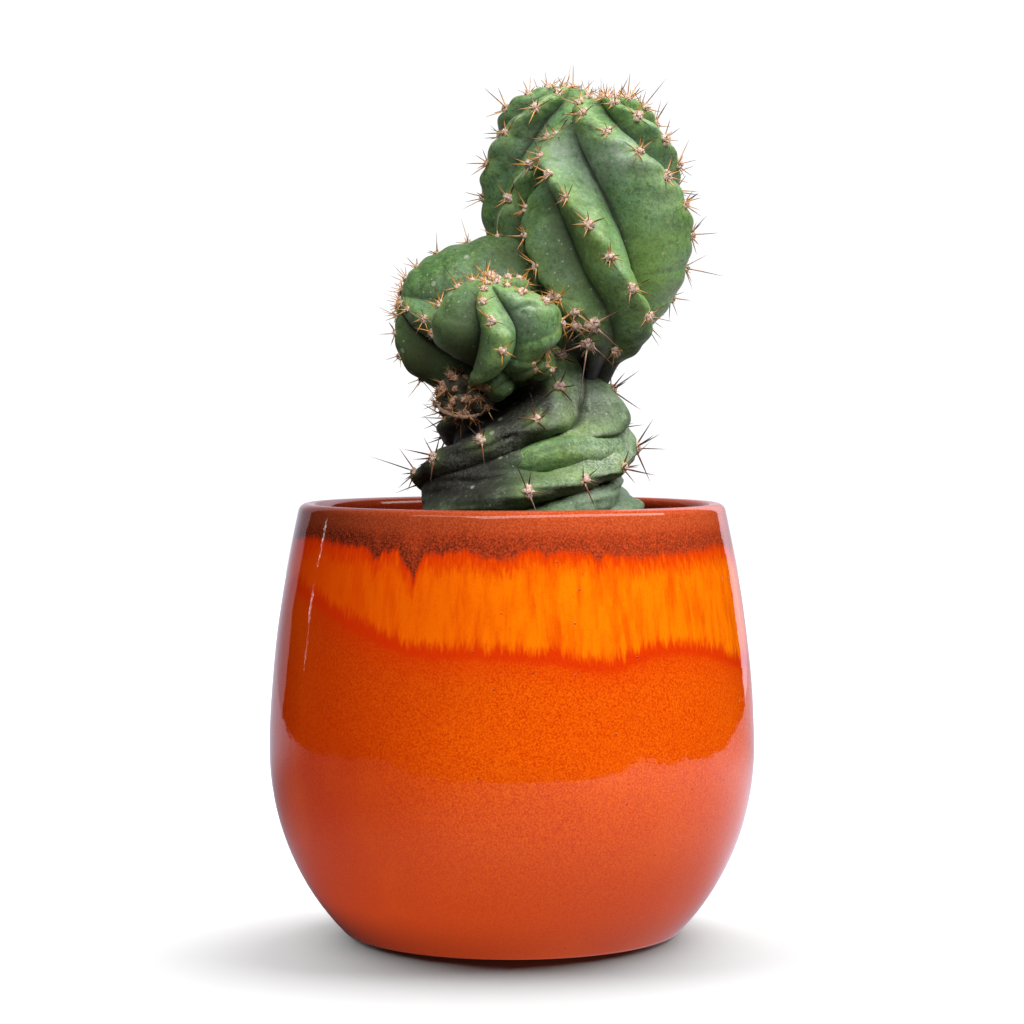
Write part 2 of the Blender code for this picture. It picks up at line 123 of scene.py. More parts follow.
def turns(count: int) -> np.ndarray:
    """Angles of evenly spaced points round a circle."""
    return 2.0 * math.pi * np.arange(count) / count


def rings(first: np.ndarray, second: np.ndarray, sides: int) -> np.ndarray:
    """Unit circles in the planes of two directions: first cos(angle) + second sin(angle)."""
    angle = turns(sides)[:, None]
    return first[:, None] * np.cos(angle) + second[:, None] * np.sin(angle)


def spun(radius: Amount, bearing: Amount, height: Amount) -> np.ndarray:
    """Points at a radius from the upright axis, a bearing in radians and a height."""
    x, y = radius * np.sin(bearing), -radius * np.cos(bearing)
    return np.stack(np.broadcast_arrays(x, y, height), axis=-1)


def balls(draw: np.random.Generator, centres: np.ndarray, radii: np.ndarray, uneven: tuple, grid: tuple,
          margin: float, start: float = 0.0) -> np.ndarray:
    """Lumpy balls: rings of points from near the lowest point to near the highest, at uneven radii.

    Args:
        draw: the random numbers.
        centres: the balls' centres.
        radii: their radii.
        uneven: the least and greatest share of the radius.
        grid: how many rings, and how many points round each.
        margin: angle between the poles and the rings next to them.
        start: angle of the first point round.

    Returns:
        Points as (ball, row, column, xyz).
    """
    rows, columns = grid
    tilt = np.linspace(margin, math.pi - margin, rows)[:, None]
    angle = start + turns(columns)
    flat = np.sin(tilt)
    even = np.stack([flat * np.cos(angle), flat * np.sin(angle), -np.cos(tilt) * np.ones(columns)], axis=-1)
    lumpy = radii[:, None, None] * draw.uniform(*uneven, (len(centres), rows, columns))
    return centres[:, None, None] + even * lumpy[..., None]


def towards(bearing: float, elevation: float) -> Vector:
    """Unit vector from the plant at a bearing and an elevation in degrees."""
    around, up = math.radians(bearing), math.radians(elevation)
    return Vector((math.sin(around) * math.cos(up), -math.cos(around) * math.cos(up), math.sin(up)))


def show(name: str, data: bpy.types.ID) -> bpy.types.Object:
    """Put a mesh, a light or a camera in the scene.

    Args:
        name: the object's name.
        data: what it shows.

    Returns:
        The object, at the origin, unturned and unscaled.
    """
    thing = bpy.data.objects.new(name, data)
    bpy.context.scene.collection.objects.link(thing)
    return thing


def light(name: str, kind: str, energy: float, away: Vector) -> bpy.types.Object:
    """Make a light that the camera doesn't see.

    Args:
        name: its name.
        kind: AREA or SUN.
        energy: its power or strength.
        away: the direction that it shines from.

    Returns:
        The light, turned but still at the origin.
    """
    data = bpy.data.lights.new(name, kind)
    data.energy = energy
    lamp = show(name, data)
    lamp.rotation_euler = away.to_track_quat("Z", "Y").to_euler()
    lamp.visible_camera = False
    return lamp


class MeshWriter:
    """Collects grids of points into one mesh, with named values at each point."""

    def __init__(self, name: str, value_names: Iterable[str] = ()) -> None:
        """Start an empty mesh.

        Args:
            name: the piece's name.
            value_names: names of the values that every grid brings.
        """
        self.name = name
        self.values: dict = {value_name: [] for value_name in value_names}
        self.points: list = []
        self.quads: list = []
        self.triangles: list = []
        self.count = 0

    def add(self, grids: np.ndarray, values: dict | None = None) -> None:
        """Add grids of points that close round, with a point at each end, the mean of the row beside it.

        Args:
            grids: points in millimetres as (grid, row, column, xyz), or without the first for one grid.
            values: named values at the points.
        """
        grids = grids[None] if grids.ndim == 3 else grids
        pieces, rows, columns = grids.shape[:3]
        number = self.count + np.arange(pieces * rows * columns).reshape(pieces, rows, columns)
        following = np.roll(number, -1, axis=2)
        quads = np.stack([number[:, :-1], following[:, :-1], following[:, 1:], number[:, 1:]], axis=-1)
        self.quads.append(quads.reshape(-1, 4))
        self.points.append(grids.reshape(-1, 3))
        given = {name: np.broadcast_to(values[name], number.shape) for name in self.values}
        for name, store in self.values.items():
            store.append(given[name].reshape(-1))
        self.count += number.size
        for row, order in ((0, (0, 2, 1)), (-1, (0, 1, 2))):
            pole = np.repeat(self.count + np.arange(pieces)[:, None], columns, axis=1)
            fan = np.stack([pole, number[:, row], following[:, row]], axis=-1)
            self.triangles.append(fan[..., order].reshape(-1, 3))
            self.points.append(grids[:, row].mean(axis=1))
            for name, store in self.values.items():
                store.append(given[name][:, row].mean(axis=1))
            self.count += pieces

    def finish(self, material: bpy.types.Material) -> bpy.types.Object:
        """Make the mesh and its object, shaded smooth.

        Args:
            material: the piece's finish.

        Returns:
            The object.
        """
        mesh = bpy.data.meshes.new(self.name)
        quads, triangles = np.concatenate(self.quads), np.concatenate(self.triangles)
        loops = np.concatenate([quads.reshape(-1), triangles.reshape(-1)]).astype(np.int32)
        sizes = np.concatenate([np.full(len(quads), 4), np.full(len(triangles), 3)])
        mesh.vertices.add(self.count)
        mesh.vertices.foreach_set("co", (np.concatenate(self.points) * MM).astype(np.float32).reshape(-1))
        mesh.loops.add(len(loops))
        mesh.loops.foreach_set("vertex_index", loops)
        mesh.polygons.add(len(sizes))
        mesh.polygons.foreach_set("loop_start", np.concatenate([[0], np.cumsum(sizes)[:-1]]).astype(np.int32))
        mesh.update(calc_edges=True)
        for name, store in self.values.items():
            attribute = mesh.attributes.new(name, "FLOAT", "POINT")
            attribute.data.foreach_set("value", np.concatenate(store).astype(np.float32))
        mesh.validate()
        mesh.shade_smooth()
        mesh.materials.append(material)
        LOG.info("%s: %d triangles", self.name, 2 * len(quads) + len(triangles))
        return show(self.name, mesh)


@dataclass(frozen=True)
class Wire:
    """A value or colour that a node of a material gives. Arithmetic on it adds nodes."""

    board: Board
    socket: bpy.types.NodeSocket

    def __add__(self, other: Value) -> Wire:
        """The sum."""
        return self.board.math("ADD", self, other)

    def __sub__(self, other: Value) -> Wire:
        """The difference."""
        return self.board.math("SUBTRACT", self, other)

    def __rsub__(self, other: Value) -> Wire:
        """What is left of a number."""
        return self.board.math("SUBTRACT", other, self)

    def __mul__(self, other: Value) -> Wire:
        """The product."""
        return self.board.math("MULTIPLY", self, other)

    def clamped(self) -> Wire:
        """The same sum or product, kept from 0 to 1."""
        self.socket.node.use_clamp = True
        return self

    def step(self, low: float, high: float) -> Wire:
        """A smooth step from 0 at the low value to 1 at the high one."""
        inputs = {"Value": self, "From Min": low, "From Max": high}
        return self.board.node("MapRange", "Result", inputs, interpolation_type="SMOOTHSTEP")


class Board:
    """One material's nodes, with short calls for the patterns that the finishes use."""

    def __init__(self, name: str) -> None:
        """Start a Principled material whose patterns read Object coordinates.

        Args:
            name: the material's name.
        """
        self.material = bpy.data.materials.new(name)
        self.material.use_nodes = True
        self.tree = self.material.node_tree
        self.place = self.node("TexCoord", "Object", {})

    def feed(self, socket: bpy.types.NodeSocket, value: Value) -> None:
        """Link a socket to a wire, or set its own value, where text is a colour's code.

        Args:
            socket: an input of a node.
            value: what it gets.
        """
        if isinstance(value, Wire):
            self.tree.links.new(value.socket, socket)
        else:
            socket.default_value = srgb(value) if isinstance(value, str) else value

    def node(self, kind: str, output: str | int, inputs: dict, **settings: object) -> Wire:
        """Add a node.

        Args:
            kind: its type, without the leading ShaderNode.
            output: name or number of the output that is read.
            inputs: values of its inputs, by name or number.
            settings: its own properties.

        Returns:
            The output.
        """
        made = self.tree.nodes.new(f"ShaderNode{kind}")
        for name, value in settings.items():
            setattr(made, name, value)
        for name, value in inputs.items():
            self.feed(made.inputs[name], value)
        return Wire(self, made.outputs[output])

    def math(self, operation: str, first: Value, second: Value = 0.0) -> Wire:
        """One step of arithmetic on two values."""
        return self.node("Math", 0, {0: first, 1: second}, operation=operation)

    def mix(self, share: Value, first: Value, second: Value) -> Wire:
        """Two colours blended, by a share of the second."""
        inputs = {"Factor": share, "A": first, "B": second}
        return self.node("Mix", "Result", inputs, data_type="RGBA", clamp_factor=True)

    def coats(self, colour: Value, *coats: tuple) -> Wire:
        """A colour under coats that are laid over it in order.

        Args:
            colour: the ground.
            coats: the share that each coat covers, and its colour.

        Returns:
            The colour seen.
        """
        for share, coat in coats:
            colour = self.mix(share, colour, coat)
        return colour

    def noise(self, size: float, detail: float, rough: float, shift: float = 0.0,
              stretch: tuple = ()) -> Wire:
        """Cloudy noise of 0 to 1.

        Args:
            size: about how large its features are, in millimetres.
            detail: how many finer layers it has.
            rough: how strong they are.
            shift: a number that gives it a pattern of its own.
            stretch: scale along each axis, under 1 for long features.

        Returns:
            The noise.
        """
        place = self.place
        if stretch:
            place = self.node("Mapping", "Vector", {"Vector": place, "Scale": stretch})
        inputs = {"Vector": place, "W": shift, "Scale": 1.0 / (size * MM), "Detail": detail,
                  "Roughness": rough}
        return self.node("TexNoise", "Fac", inputs, noise_dimensions="4D")

    def dots(self, spacing: float, core: float, rim: float) -> Wire:
        """Dots: 1 within the core and 0 past the rim, both as shares of their spacing in millimetres."""
        cells = self.node("TexVoronoi", "Distance", {"Vector": self.place, "Scale": 1.0 / (spacing * MM)})
        return 1.0 - cells.step(core, rim)

    def value(self, name: str) -> Wire:
        """A value stored at the mesh's points."""
        return self.node("Attribute", "Fac", {}, attribute_name=name)

    def axis(self, name: str) -> Wire:
        """One of the Object coordinates, in metres."""
        return self.node("SeparateXYZ", name, {0: self.place})

    def bump(self, height: Wire, depth: float, strength: float = 1.0, **normal: Wire) -> Wire:
        """A normal tilted by a height of 0 to 1 that stands for a depth in millimetres."""
        inputs = {"Strength": strength, "Distance": depth * MM, "Height": height, **normal}
        return self.node("Bump", "Normal", inputs)

    def finish(self, **values: Value) -> bpy.types.Material:
        """Feed the Principled node.

        Args:
            values: values of its inputs, whose names have underscores for spaces.

        Returns:
            The material.
        """
        for name, value in values.items():
            self.feed(self.tree.nodes["Principled BSDF"].inputs[name.replace("_", " ")], value)
        return self.material


class Look(Enum):
    """What a patch of skin looks like."""

    # Dark patches: partly dark skin, mostly painted shade in recesses and under the shoots.
    SOOT = "soot"
    CRUST = "crust"
    FRESH = "fresh"
    # Pale waxy patches, partly painted highlights where the skin faces the light.
    BLOOM = "bloom"
    # Dull dark green patches, partly painted shade on undersides and on sides away from the light.
    OLIVE = "olive"


@dataclass(frozen=True)
class Patch:
    """A soft oval patch of skin, seen from the front: its middle, half width, half height and strength."""

    x: float
    z: float
    width: float
    height: float
    strength: float = 1.0

    def weight(self, places: np.ndarray) -> np.ndarray:
        """Its strength at each place: a bell across times a bell upward."""
        across = bell(places[..., 0] - self.x, self.width)
        return self.strength * across * bell(places[..., 2] - self.z, self.height)


@dataclass(frozen=True)
class Crease:
    """A groove in the front of the skin along points (x, z), with its depth and width."""

    line: tuple
    depth: float = 0.7
    width: float = 0.9

    def fall(self, places: np.ndarray) -> np.ndarray:
        """How deep it cuts: a bell across the nearest stretch, times the root of a sine along the line.

        Args:
            places: points of the skin.

        Returns:
            Depths in millimetres.
        """
        best = np.full(places.shape[:-1], 1e9)
        fade = np.zeros(places.shape[:-1])
        spots = places[..., (0, 2)]
        points = np.array(self.line, dtype=float)
        stretches = len(points) - 1
        for number, (start, end) in enumerate(zip(points[:-1], points[1:])):
            way = end - start
            share = np.clip((spots - start) @ way / way.dot(way), 0.0, 1.0)
            distance = np.linalg.norm(spots - start - share[..., None] * way, axis=-1)
            closer = distance < best
            best = np.where(closer, distance, best)
            fade = np.where(closer, np.sin(math.pi * np.clip((number + share) / stretches, 0.04, 0.96)), fade)
        return self.depth * np.sqrt(fade) * bell(best, self.width)


@dataclass(frozen=True)
class SkinFinish:
    """Waxy green cactus skin, mottled, with paler crests, painted shade in its furrows, dark patches that are
    partly painted shade, pale waxy patches that are partly painted highlights, and a pale crust.
    """

    name: str
    mid: str = "#557c43"
    bluish: str = "#719a6b"
    light: str = "#90b060"
    fresh: str = "#7f9f3a"
    # Pale waxy grey-green, also used for painted highlights.
    bloom: str = "#8e9c8c"
    # Dark green of specks and old skin, also used for painted shade in the furrows.
    dark: str = "#2b3c22"
    # Dull dark green, also used for painted shade on undersides and on sides away from the light.
    olive: str = "#39431f"
    # Near-black of dark skin, mostly used for painted shade in recesses and under the shoots.
    soot: str = "#191610"
    # Painted shade: the dark line along the bottom of each furrow.
    furrow: str = "#0e160b"
    crust: str = "#aab39c"
    cork: str = "#b9b694"
    specular: float = 0.42

    def material(self) -> bpy.types.Material:
        """The skin's coats over its two greens, where the values at the mesh's points and noise put them.

        Returns:
            The material.
        """
        board = Board(self.name)
        crest, cut, tone, age = (board.value(name) for name in ("crest", "cut", "tone", "age"))
        soot, crust, fresh, bloom, olive = (board.value(look.value) for look in Look)
        cloud = board.noise(12.0, 3.0, 0.55)
        patch = board.noise(5.0, 4.0, 0.6, 3.0)
        blotch = board.noise(2.6, 4.0, 0.65, 13.0)
        pepper = board.noise(1.2, 4.0, 0.7, 17.0)
        fine = board.noise(0.6, 3.0, 0.7, 5.0)
        crumbs = board.noise(0.8, 4.0, 0.75, 7.0)
        wrinkles = board.noise(1.1, 3.0, 0.6, 9.0, (0.35, 0.35, 1.0))
        lit = crest.step(0.3, 1.0) * patch.step(0.3, 0.7) * 0.6 + tone * 0.8
        # How near a furrow a point is; it sets the painted furrow shade and the duller roughness there.
        low = 1.0 - crest.step(0.0, 0.5)
        # Dull dark green on dark-toned ribs and where the patches lie, which are partly painted shade.
        olive_and_shade_share = olive + (tone * -1.0).clamped()
        crusted = (crust + age.step(0.3, 1.0) * patch.step(0.5, 0.7) * 0.5) * crumbs.step(0.4, 0.62)
        crusted = crusted * (1.0 - soot * 0.6)
        dots = board.dots(2.3, 0.06, 0.17) * board.noise(7.0, 2.0, 0.5, 11.0).step(0.42, 0.56)
        scurf = board.dots(6.5, 0.08, 0.15) * board.noise(16.0, 2.0, 0.5, 19.0).step(0.5, 0.6)
        line = (1.0 - board.value("off_crest").step(0.1, 0.36)) * board.value("lined")
        colour = board.coats(
            board.mix(cloud.step(0.38, 0.68), self.mid, self.bluish),
            (board.math("MAXIMUM", lit, 0.0), self.light),
            (blotch.step(0.5, 0.64) * 0.5, self.light),
            (pepper.step(0.48, 0.62) * 0.6, self.dark),
            # Painted shade towards the furrows, deeper where they cut deeper.
            (low * (cut * 0.35 + 0.35), self.dark),
            # Dull dark green skin and painted shade.
            (olive_and_shade_share * 0.85, self.olive),
            (fresh * 0.8, self.fresh),
            (age * 0.4, self.dark),
            # Pale waxy patches, partly painted highlights.
            (bloom * blotch.step(0.3, 0.55) * 0.8, self.bloom),
            # Dark skin and painted shade in recesses and under the shoots.
            ((soot * (blotch + 0.72) * 0.92).clamped(), self.soot),
            ((crusted * 0.75).clamped(), self.crust),
            (dots * 0.6, self.crust),
            (scurf * 0.5, self.crust),
            (board.value("halo") * 0.45, self.light),
            (line * 0.7, self.cork),
            # Painted shade: a dark line at the bottom of each furrow.
            ((1.0 - crest.step(0.0, 0.1)) * (cut * 0.9), self.furrow),
        )
        mottle = {0: colour, "Scale": fine.step(0.32, 0.68) * 0.36 + 0.82}
        dull = crusted * 0.3 + age * 0.12 + board.math("MAXIMUM", olive_and_shade_share, low) * 0.3
        return board.finish(
            Base_Color=board.node("VectorMath", "Vector", mottle, operation="SCALE"),
            Roughness=(cloud * 0.16 + 0.34 + dull).clamped(),
            Normal=board.bump(wrinkles * (age + 0.35) + fine * 0.7, 0.2, 0.9),
            Specular_IOR_Level=self.specular,
        )


@dataclass(frozen=True)
class SpineFinish:
    """Hard smooth spines, from a pale foot through the colour of their age to a dark point."""

    name: str = "spines"
    foot: str = "#e6c29c"
    young: str = "#f0a23c"
    grown: str = "#cf9450"
    old: str = "#7d4232"
    point: str = "#34160f"

    def material(self) -> bpy.types.Material:
        """The spines' material, by how far along the spine a point is, by its age and by its own shade.

        Returns:
            The material.
        """
        board = Board(self.name)
        along, age = board.value("along"), board.value("spine_age")
        reach = along + board.value("shade") * 0.45 + age * 0.3
        body = board.coats(self.young, (age.step(0.0, 0.45), self.grown), (age.step(0.5, 0.95), self.old))
        grain = board.noise(0.5, 2.0, 0.6)
        colour = board.coats(self.foot, (along.step(0.02, 0.3), body), (reach.step(0.62, 1.25), self.point))
        return board.finish(Base_Color=colour, Roughness=grain * 0.2 + 0.3, Normal=board.bump(grain, 0.03))


@dataclass(frozen=True)
class FeltFinish:
    """Short matted wool of the areole pads."""

    name: str
    pale: str
    deep: str

    def material(self) -> bpy.types.Material:
        """The wool's material: fine noise in colour and relief, with a soft sheen.

        Returns:
            The material.
        """
        board = Board(self.name)
        fine = board.noise(0.45, 4.0, 0.8)
        colour = board.mix(fine.step(0.38, 0.64), self.deep, self.pale)
        return board.finish(Base_Color=colour, Roughness=0.95, Normal=board.bump(fine, 0.35),
                            Sheen_Weight=0.3)


@dataclass(frozen=True)
class SoilFinish:
    """Dark moist potting mix with lighter fibres."""

    name: str
    dark: str = "#2a1d14"
    brown: str = "#4a3524"
    pale: str = "#8a6d4c"

    def material(self) -> bpy.types.Material:
        """The soil's material: brown clods and pale fibres over dark ground.

        Returns:
            The material.
        """
        board = Board(self.name)
        clods = board.noise(3.0, 5.0, 0.7)
        fibres = board.noise(1.2, 3.0, 0.6, 4.0, (0.3, 1.0, 1.0))
        colour = board.coats(self.dark, (clods.step(0.35, 0.65), self.brown),
                             (fibres.step(0.64, 0.74) * 0.7, self.pale))
        return board.finish(Base_Color=colour, Roughness=0.95, Normal=board.bump(clods, 0.6))


@dataclass(frozen=True)
class GlazeFinish:
    """Running glaze: rust at the rim, a bright streaked run below it, then grainy orange down to the foot,
    with painted shade on its left side and at the foot.
    """

    name: str
    rust: str = "#a53c1b"
    # Dark brown of the band's lower edge, scorch marks and pits; also painted shade on the left side and at
    # the foot.
    brown: str = "#4a1a10"
    fleck: str = "#d4683a"
    bright: str = "#ee7503"
    streak: str = "#d95202"
    # Painted shade: the darker red of the run on the left side.
    shaded_left_run: str = "#d23c02"
    seam: str = "#c92a04"
    body: str = "#c13402"
    body_light: str = "#e46008"
    # Painted shade: the darker red of the body on the left side.
    shaded_left_body: str = "#ae2404"
    ember: str = "#cc4a22"
    foot: str = "#c8441c"
    inside: str = "#7c2410"
    clay: str = "#5a2b18"
    ior: float = 1.32

    def material(self) -> bpy.types.Material:
        """The glaze's coats over its body colour, by heights above its two lines, the painted shade of its
        left side, inner and noise.

        Returns:
            The material.
        """
        board = Board(self.name)
        # side is a painted shade mask, strongest on the left, away from the key light.
        names = ("above_run", "above_band", "height", "side", "inner")
        above_run, above_band, height, side, inner = (board.value(name) for name in names)
        hair = board.noise(0.75, 3.0, 0.65, 0.0, (1.0, 1.0, 0.1))
        strand = board.noise(2.6, 3.0, 0.6, 2.0, (1.0, 1.0, 0.12))
        grain = board.noise(0.5, 2.0, 0.7, 4.0)
        wide = board.noise(22.0, 2.0, 0.5, 6.0, (1.0, 1.0, 0.6))
        scorch = board.noise(0.6, 2.0, 0.7, 21.0).step(0.5, 0.64)
        flecks = board.dots(0.9, 0.06, 0.2)
        pits = board.dots(6.0, 0.02, 0.06)
        speck = grain.step(0.42, 0.62)
        ragged = (hair - 0.5) * 8.0 + (strand - 0.5) * 5.0
        soft_run = above_run + ragged * 0.25
        band = above_band + ragged * 0.6
        # Brown at the band's lower edge, and painted shade on the left side.
        band_brown_and_shade = ((1.0 - band.step(0.5, 9.0)) * 0.5 + side * 0.75).clamped()
        lip = (height + wide * 3.0).step(114.0, 118.2) * band.step(0.0, 1.5)
        bare = 1.0 - height.step(0.9, 1.9)
        body = board.coats(
            board.mix(grain.step(0.32, 0.68), self.body, self.body_light),
            # Painted shade on the left of the body.
            (side * 0.85, self.shaded_left_body),
            ((1.0 - height.step(2.0, 62.0)) * 0.75, self.foot),
            (wide.step(0.45, 0.75) * 0.25, self.body_light),
        )
        flow = board.coats(
            board.mix(strand.step(0.3, 0.62), self.streak, self.bright),
            (hair.step(0.5, 0.7) * 0.4, self.bright),
            (grain.step(0.5, 0.66) * 0.3, self.body),
            # Painted shade on the left of the run.
            (side * 0.95, self.shaded_left_run),
        )
        dark = board.coats(
            board.mix(band_brown_and_shade, self.rust, self.brown),
            # Fewer bright specks where the painted shade lies.
            (speck * (0.7 - side * 0.375), self.ember),
            (scorch * 0.55, self.brown),
            (flecks * 0.35, self.fleck),
        )
        rim = board.coats(
            board.mix(grain.step(0.4, 0.62) * 0.5, self.rust, self.fleck),
            (flecks * 0.3, self.fleck),
            # Painted shade on the left of the rim.
            (side * 0.7, self.brown),
        )
        colour = board.coats(
            body,
            (soft_run.step(-11.0, -3.0) * 0.35, self.seam),
            (soft_run.step(-4.6, -2.2) * 0.75, self.seam),
            ((above_run + ragged).step(-1.6, 2.4), flow),
            ((above_band + ragged * 1.7).step(-6.5, -0.5) * 0.85, self.seam),
            (band.step(-1.2, 1.2), dark),
            (lip, rim),
            (inner, board.mix(speck * 0.4, self.inside, self.rust)),
            # Painted shade near the foot, deeper on the left.
            ((1.0 - height.step(1.5, 15.0)) * (side * 0.65 + 0.22), self.brown),
            (bare, self.clay),
            (pits * 0.7, self.brown),
        )
        orange_peel = board.bump(board.noise(4.5, 3.0, 0.5, 8.0), 0.06)
        return board.finish(Base_Color=colour, Roughness=bare * 0.8 + 0.045, IOR=self.ior,
                            Normal=board.bump(pits, 0.08, Normal=orange_peel))


@dataclass(frozen=True)
class Level:
    """One level of a stem: its centre, the reach of its crests, their turn and how deep its furrows are."""

    x: float
    y: float
    z: float
    reach: float
    turn: float
    depth: float = 1.0


@dataclass(frozen=True)
class Rib:
    """One rib: its bearing, its strength and its furrow's, the furrow's place, and its looks.

    No spines grow on its bare base, a share of the stem's length. A lined rib has a thin corky line along its
    crest. Its tone runs from -1, dark olive, to 1, pale green.
    """

    bearing: float
    strength: Shares
    furrow: Shares
    share: float = 0.5
    bare_base: float = 0.0
    lined: float = 0.0
    tone: float = 0.0


class SpineAge(Enum):
    """How old a stem's spines are, as a share of full age."""

    YOUNG = 0.15
    GROWN = 0.45
    OLD = 1.0


@dataclass(frozen=True)
class StemLooks:
    """Fineness, relief, age and spines of one stem.

    It may have woolly tufts on its front at (x, z, size), and patches of each look. A scatter above 0 sets
    its areoles up to that many columns beside the crests, and makes their sizes uneven.
    """

    name: str
    columns: int
    rows: int
    spine_age: SpineAge
    spine_count: tuple
    spine_length: tuple
    spine_radius: float
    pad_radius: float
    areole_gap: float = 9.0
    first_gap: float = 2.2
    bulge: float = 0.8
    groove: float = 0.35
    relief: float = 0.4
    age_base: float = 0.4
    age_tip: float = 0.0
    tone: float = 0.0
    seed: int = 1
    scatter: int = 0
    creases: tuple = ()
    patches: dict = field(default_factory=dict)
    tufts: tuple = ()


@dataclass(frozen=True)
class Stem:
    """One ribbed stem: its heading, its levels from base to tip, its ribs, its crests' roundness and looks.

    The levels are rows of the values of a Level.
    """

    heading: tuple
    levels: tuple
    ribs: tuple
    roundness: float
    bare_base: float
    looks: StemLooks


TRUNK = Stem(
    heading=(0.0, 0.0, 1.0),
    levels=(
        (4, 0, 109.6, 23, -235, 0.1), (4, 0, 111.5, 29, -222, 0.7), (3, 0, 118, 32.5, -180),
        (2, 0, 124, 31.5, -136), (3.5, 0, 130, 30, -78), (5.5, 0, 136, 28, -44), (8, 0, 142, 25, -8),
        (10, 0, 148, 20, 2), (11, 1, 154, 16, 8), (11, 3, 161, 13, 12), (11, 4, 166, 8, 12),
        (11, 4, 168, 0, 12),
    ),
    ribs=(
        Rib(0, 1.0, (0.88, 0.88, 0.87, 0.86, 0.84, 0.78, 0.72, 0.72, 0.74, 0.74, 0.74, 0.74)),
        Rib(80, (0.84, 0.84, 0.84, 0.83, 0.82, 0.86, 0.98, 1.02, 1.0, 1.0, 1.0, 1.0), 0.88, 0.4, 0.56),
        Rib(138, 1.03, (0.87, 0.87, 0.87, 0.87, 0.87, 0.86, 0.86, 0.8, 0.78, 0.78, 0.78, 0.78), 0.6),
        Rib(198, (0.94, 0.94, 0.94, 0.94, 0.9, 0.8, 0.78, 0.8, 0.8, 0.8, 0.8, 0.8), 0.88, 0.5, 1.0),
        Rib(265, (1.03, 1.03, 1.03, 1.02, 1.02, 1.1, 1.15, 1.1, 1.0, 1.0, 1.0, 1.0), 0.86),
        Rib(312, 0.8, 0.86, 0.5, 1.0),
    ),
    roundness=1.2,
    bare_base=0.24,
    looks=StemLooks(
        "trunk", 40, 210, SpineAge.OLD, (5, 7), (4.6, 11.5), 0.28, 1.75, areole_gap=16.5, bulge=0.7,
        groove=0.0, relief=0.8, age_base=0.95, age_tip=0.8, tone=-0.3, seed=11,
        creases=(
            Crease(((8.7, 139.7), (16.0, 138.2), (23.5, 137.8), (32.4, 138.6)), 0.8, 1.0),
            Crease(((2.0, 128.9), (7.9, 130.3), (14.0, 130.4), (21.4, 129.7)), 0.7, 0.9),
            Crease(((-21.1, 126.2), (-12.0, 126.6), (-3.1, 125.4)), 0.6, 0.8),
            Crease(((14.0, 151.0), (19.0, 146.0), (27.0, 143.5)), 0.4, 1.2),
            Crease(((-16.0, 133.5), (-6.0, 136.0), (2.0, 139.5)), 0.5, 0.8),
        ),
        # The dark patches paint shade under the front shoot and on the lower left, over some dark skin; the
        # dull green ones paint shade under the head and low down; the pale waxy ones are partly painted
        # light.
        patches={
            Look.SOOT: ((-20, 126, 15, 13, 0.8), (-11.2, 143, 14, 8), (-0.4, 147, 9, 7),
                        (6.5, 149, 4, 9, 0.7), (-2, 122, 9, 5, 0.4), (-8, 131, 15, 7, 0.5),
                        (4.5, 146, 5, 9, 0.75)),
            Look.CRUST: ((19.7, 146, 9, 8, 0.35), (25, 133, 10, 6), (-16.5, 130, 9, 5, 0.5),
                         (-8, 138, 9, 4, 0.4), (-1, 137, 7, 3, 0.4), (14, 125, 12, 3, 0.5),
                         (4.5, 143, 6, 7, 0.55)),
            Look.FRESH: ((10, 136, 6, 6), (15, 142.5, 3.5, 5, 0.7), (22, 140.5, 8, 2.6, 0.6),
                         (14, 129, 9, 2.4, 0.5)),
            Look.BLOOM: ((22, 140, 16, 16, 0.22), (24, 121, 9, 6, 0.5), (5, 140.5, 7, 5, 0.45),
                         (10, 146, 2.5, 7, 0.6), (21, 150, 7, 5, 0.35)),
            Look.OLIVE: ((18, 147, 10, 9, 0.95), (-6, 122.5, 16, 4.5, 0.5)),
        },
    ),
)

TRUNK_FOLD = Stem(
    heading=(0.7, 0.7, 0.05),
    levels=(
        (-1, -23, 130.5, 1.5, 0), (5, -23, 132.5, 3.8, 0), (13, -20.5, 134, 4.8, 0), (22, -14.5, 134, 5, 0),
        (28, -5, 134.2, 4.6, 0), (29.5, 5, 135, 3, 0), (29, 9, 135.4, 0, 0),
    ),
    ribs=tuple(Rib(60 * number, 1.0, 0.97, 0.5, 1.0) for number in range(6)),
    roundness=1.0,
    bare_base=0.9,
    looks=StemLooks(
        "trunk_fold", 10, 60, SpineAge.OLD, (4, 5), (5.0, 9.0), 0.27, 1.2, relief=0.4, groove=0.0,
        age_base=0.6, age_tip=0.6, seed=12,
        patches={Look.CRUST: ((25, 134, 10, 6, 0.7),), Look.FRESH: ((14, 133, 8, 3, 0.5),)},
    ),
)

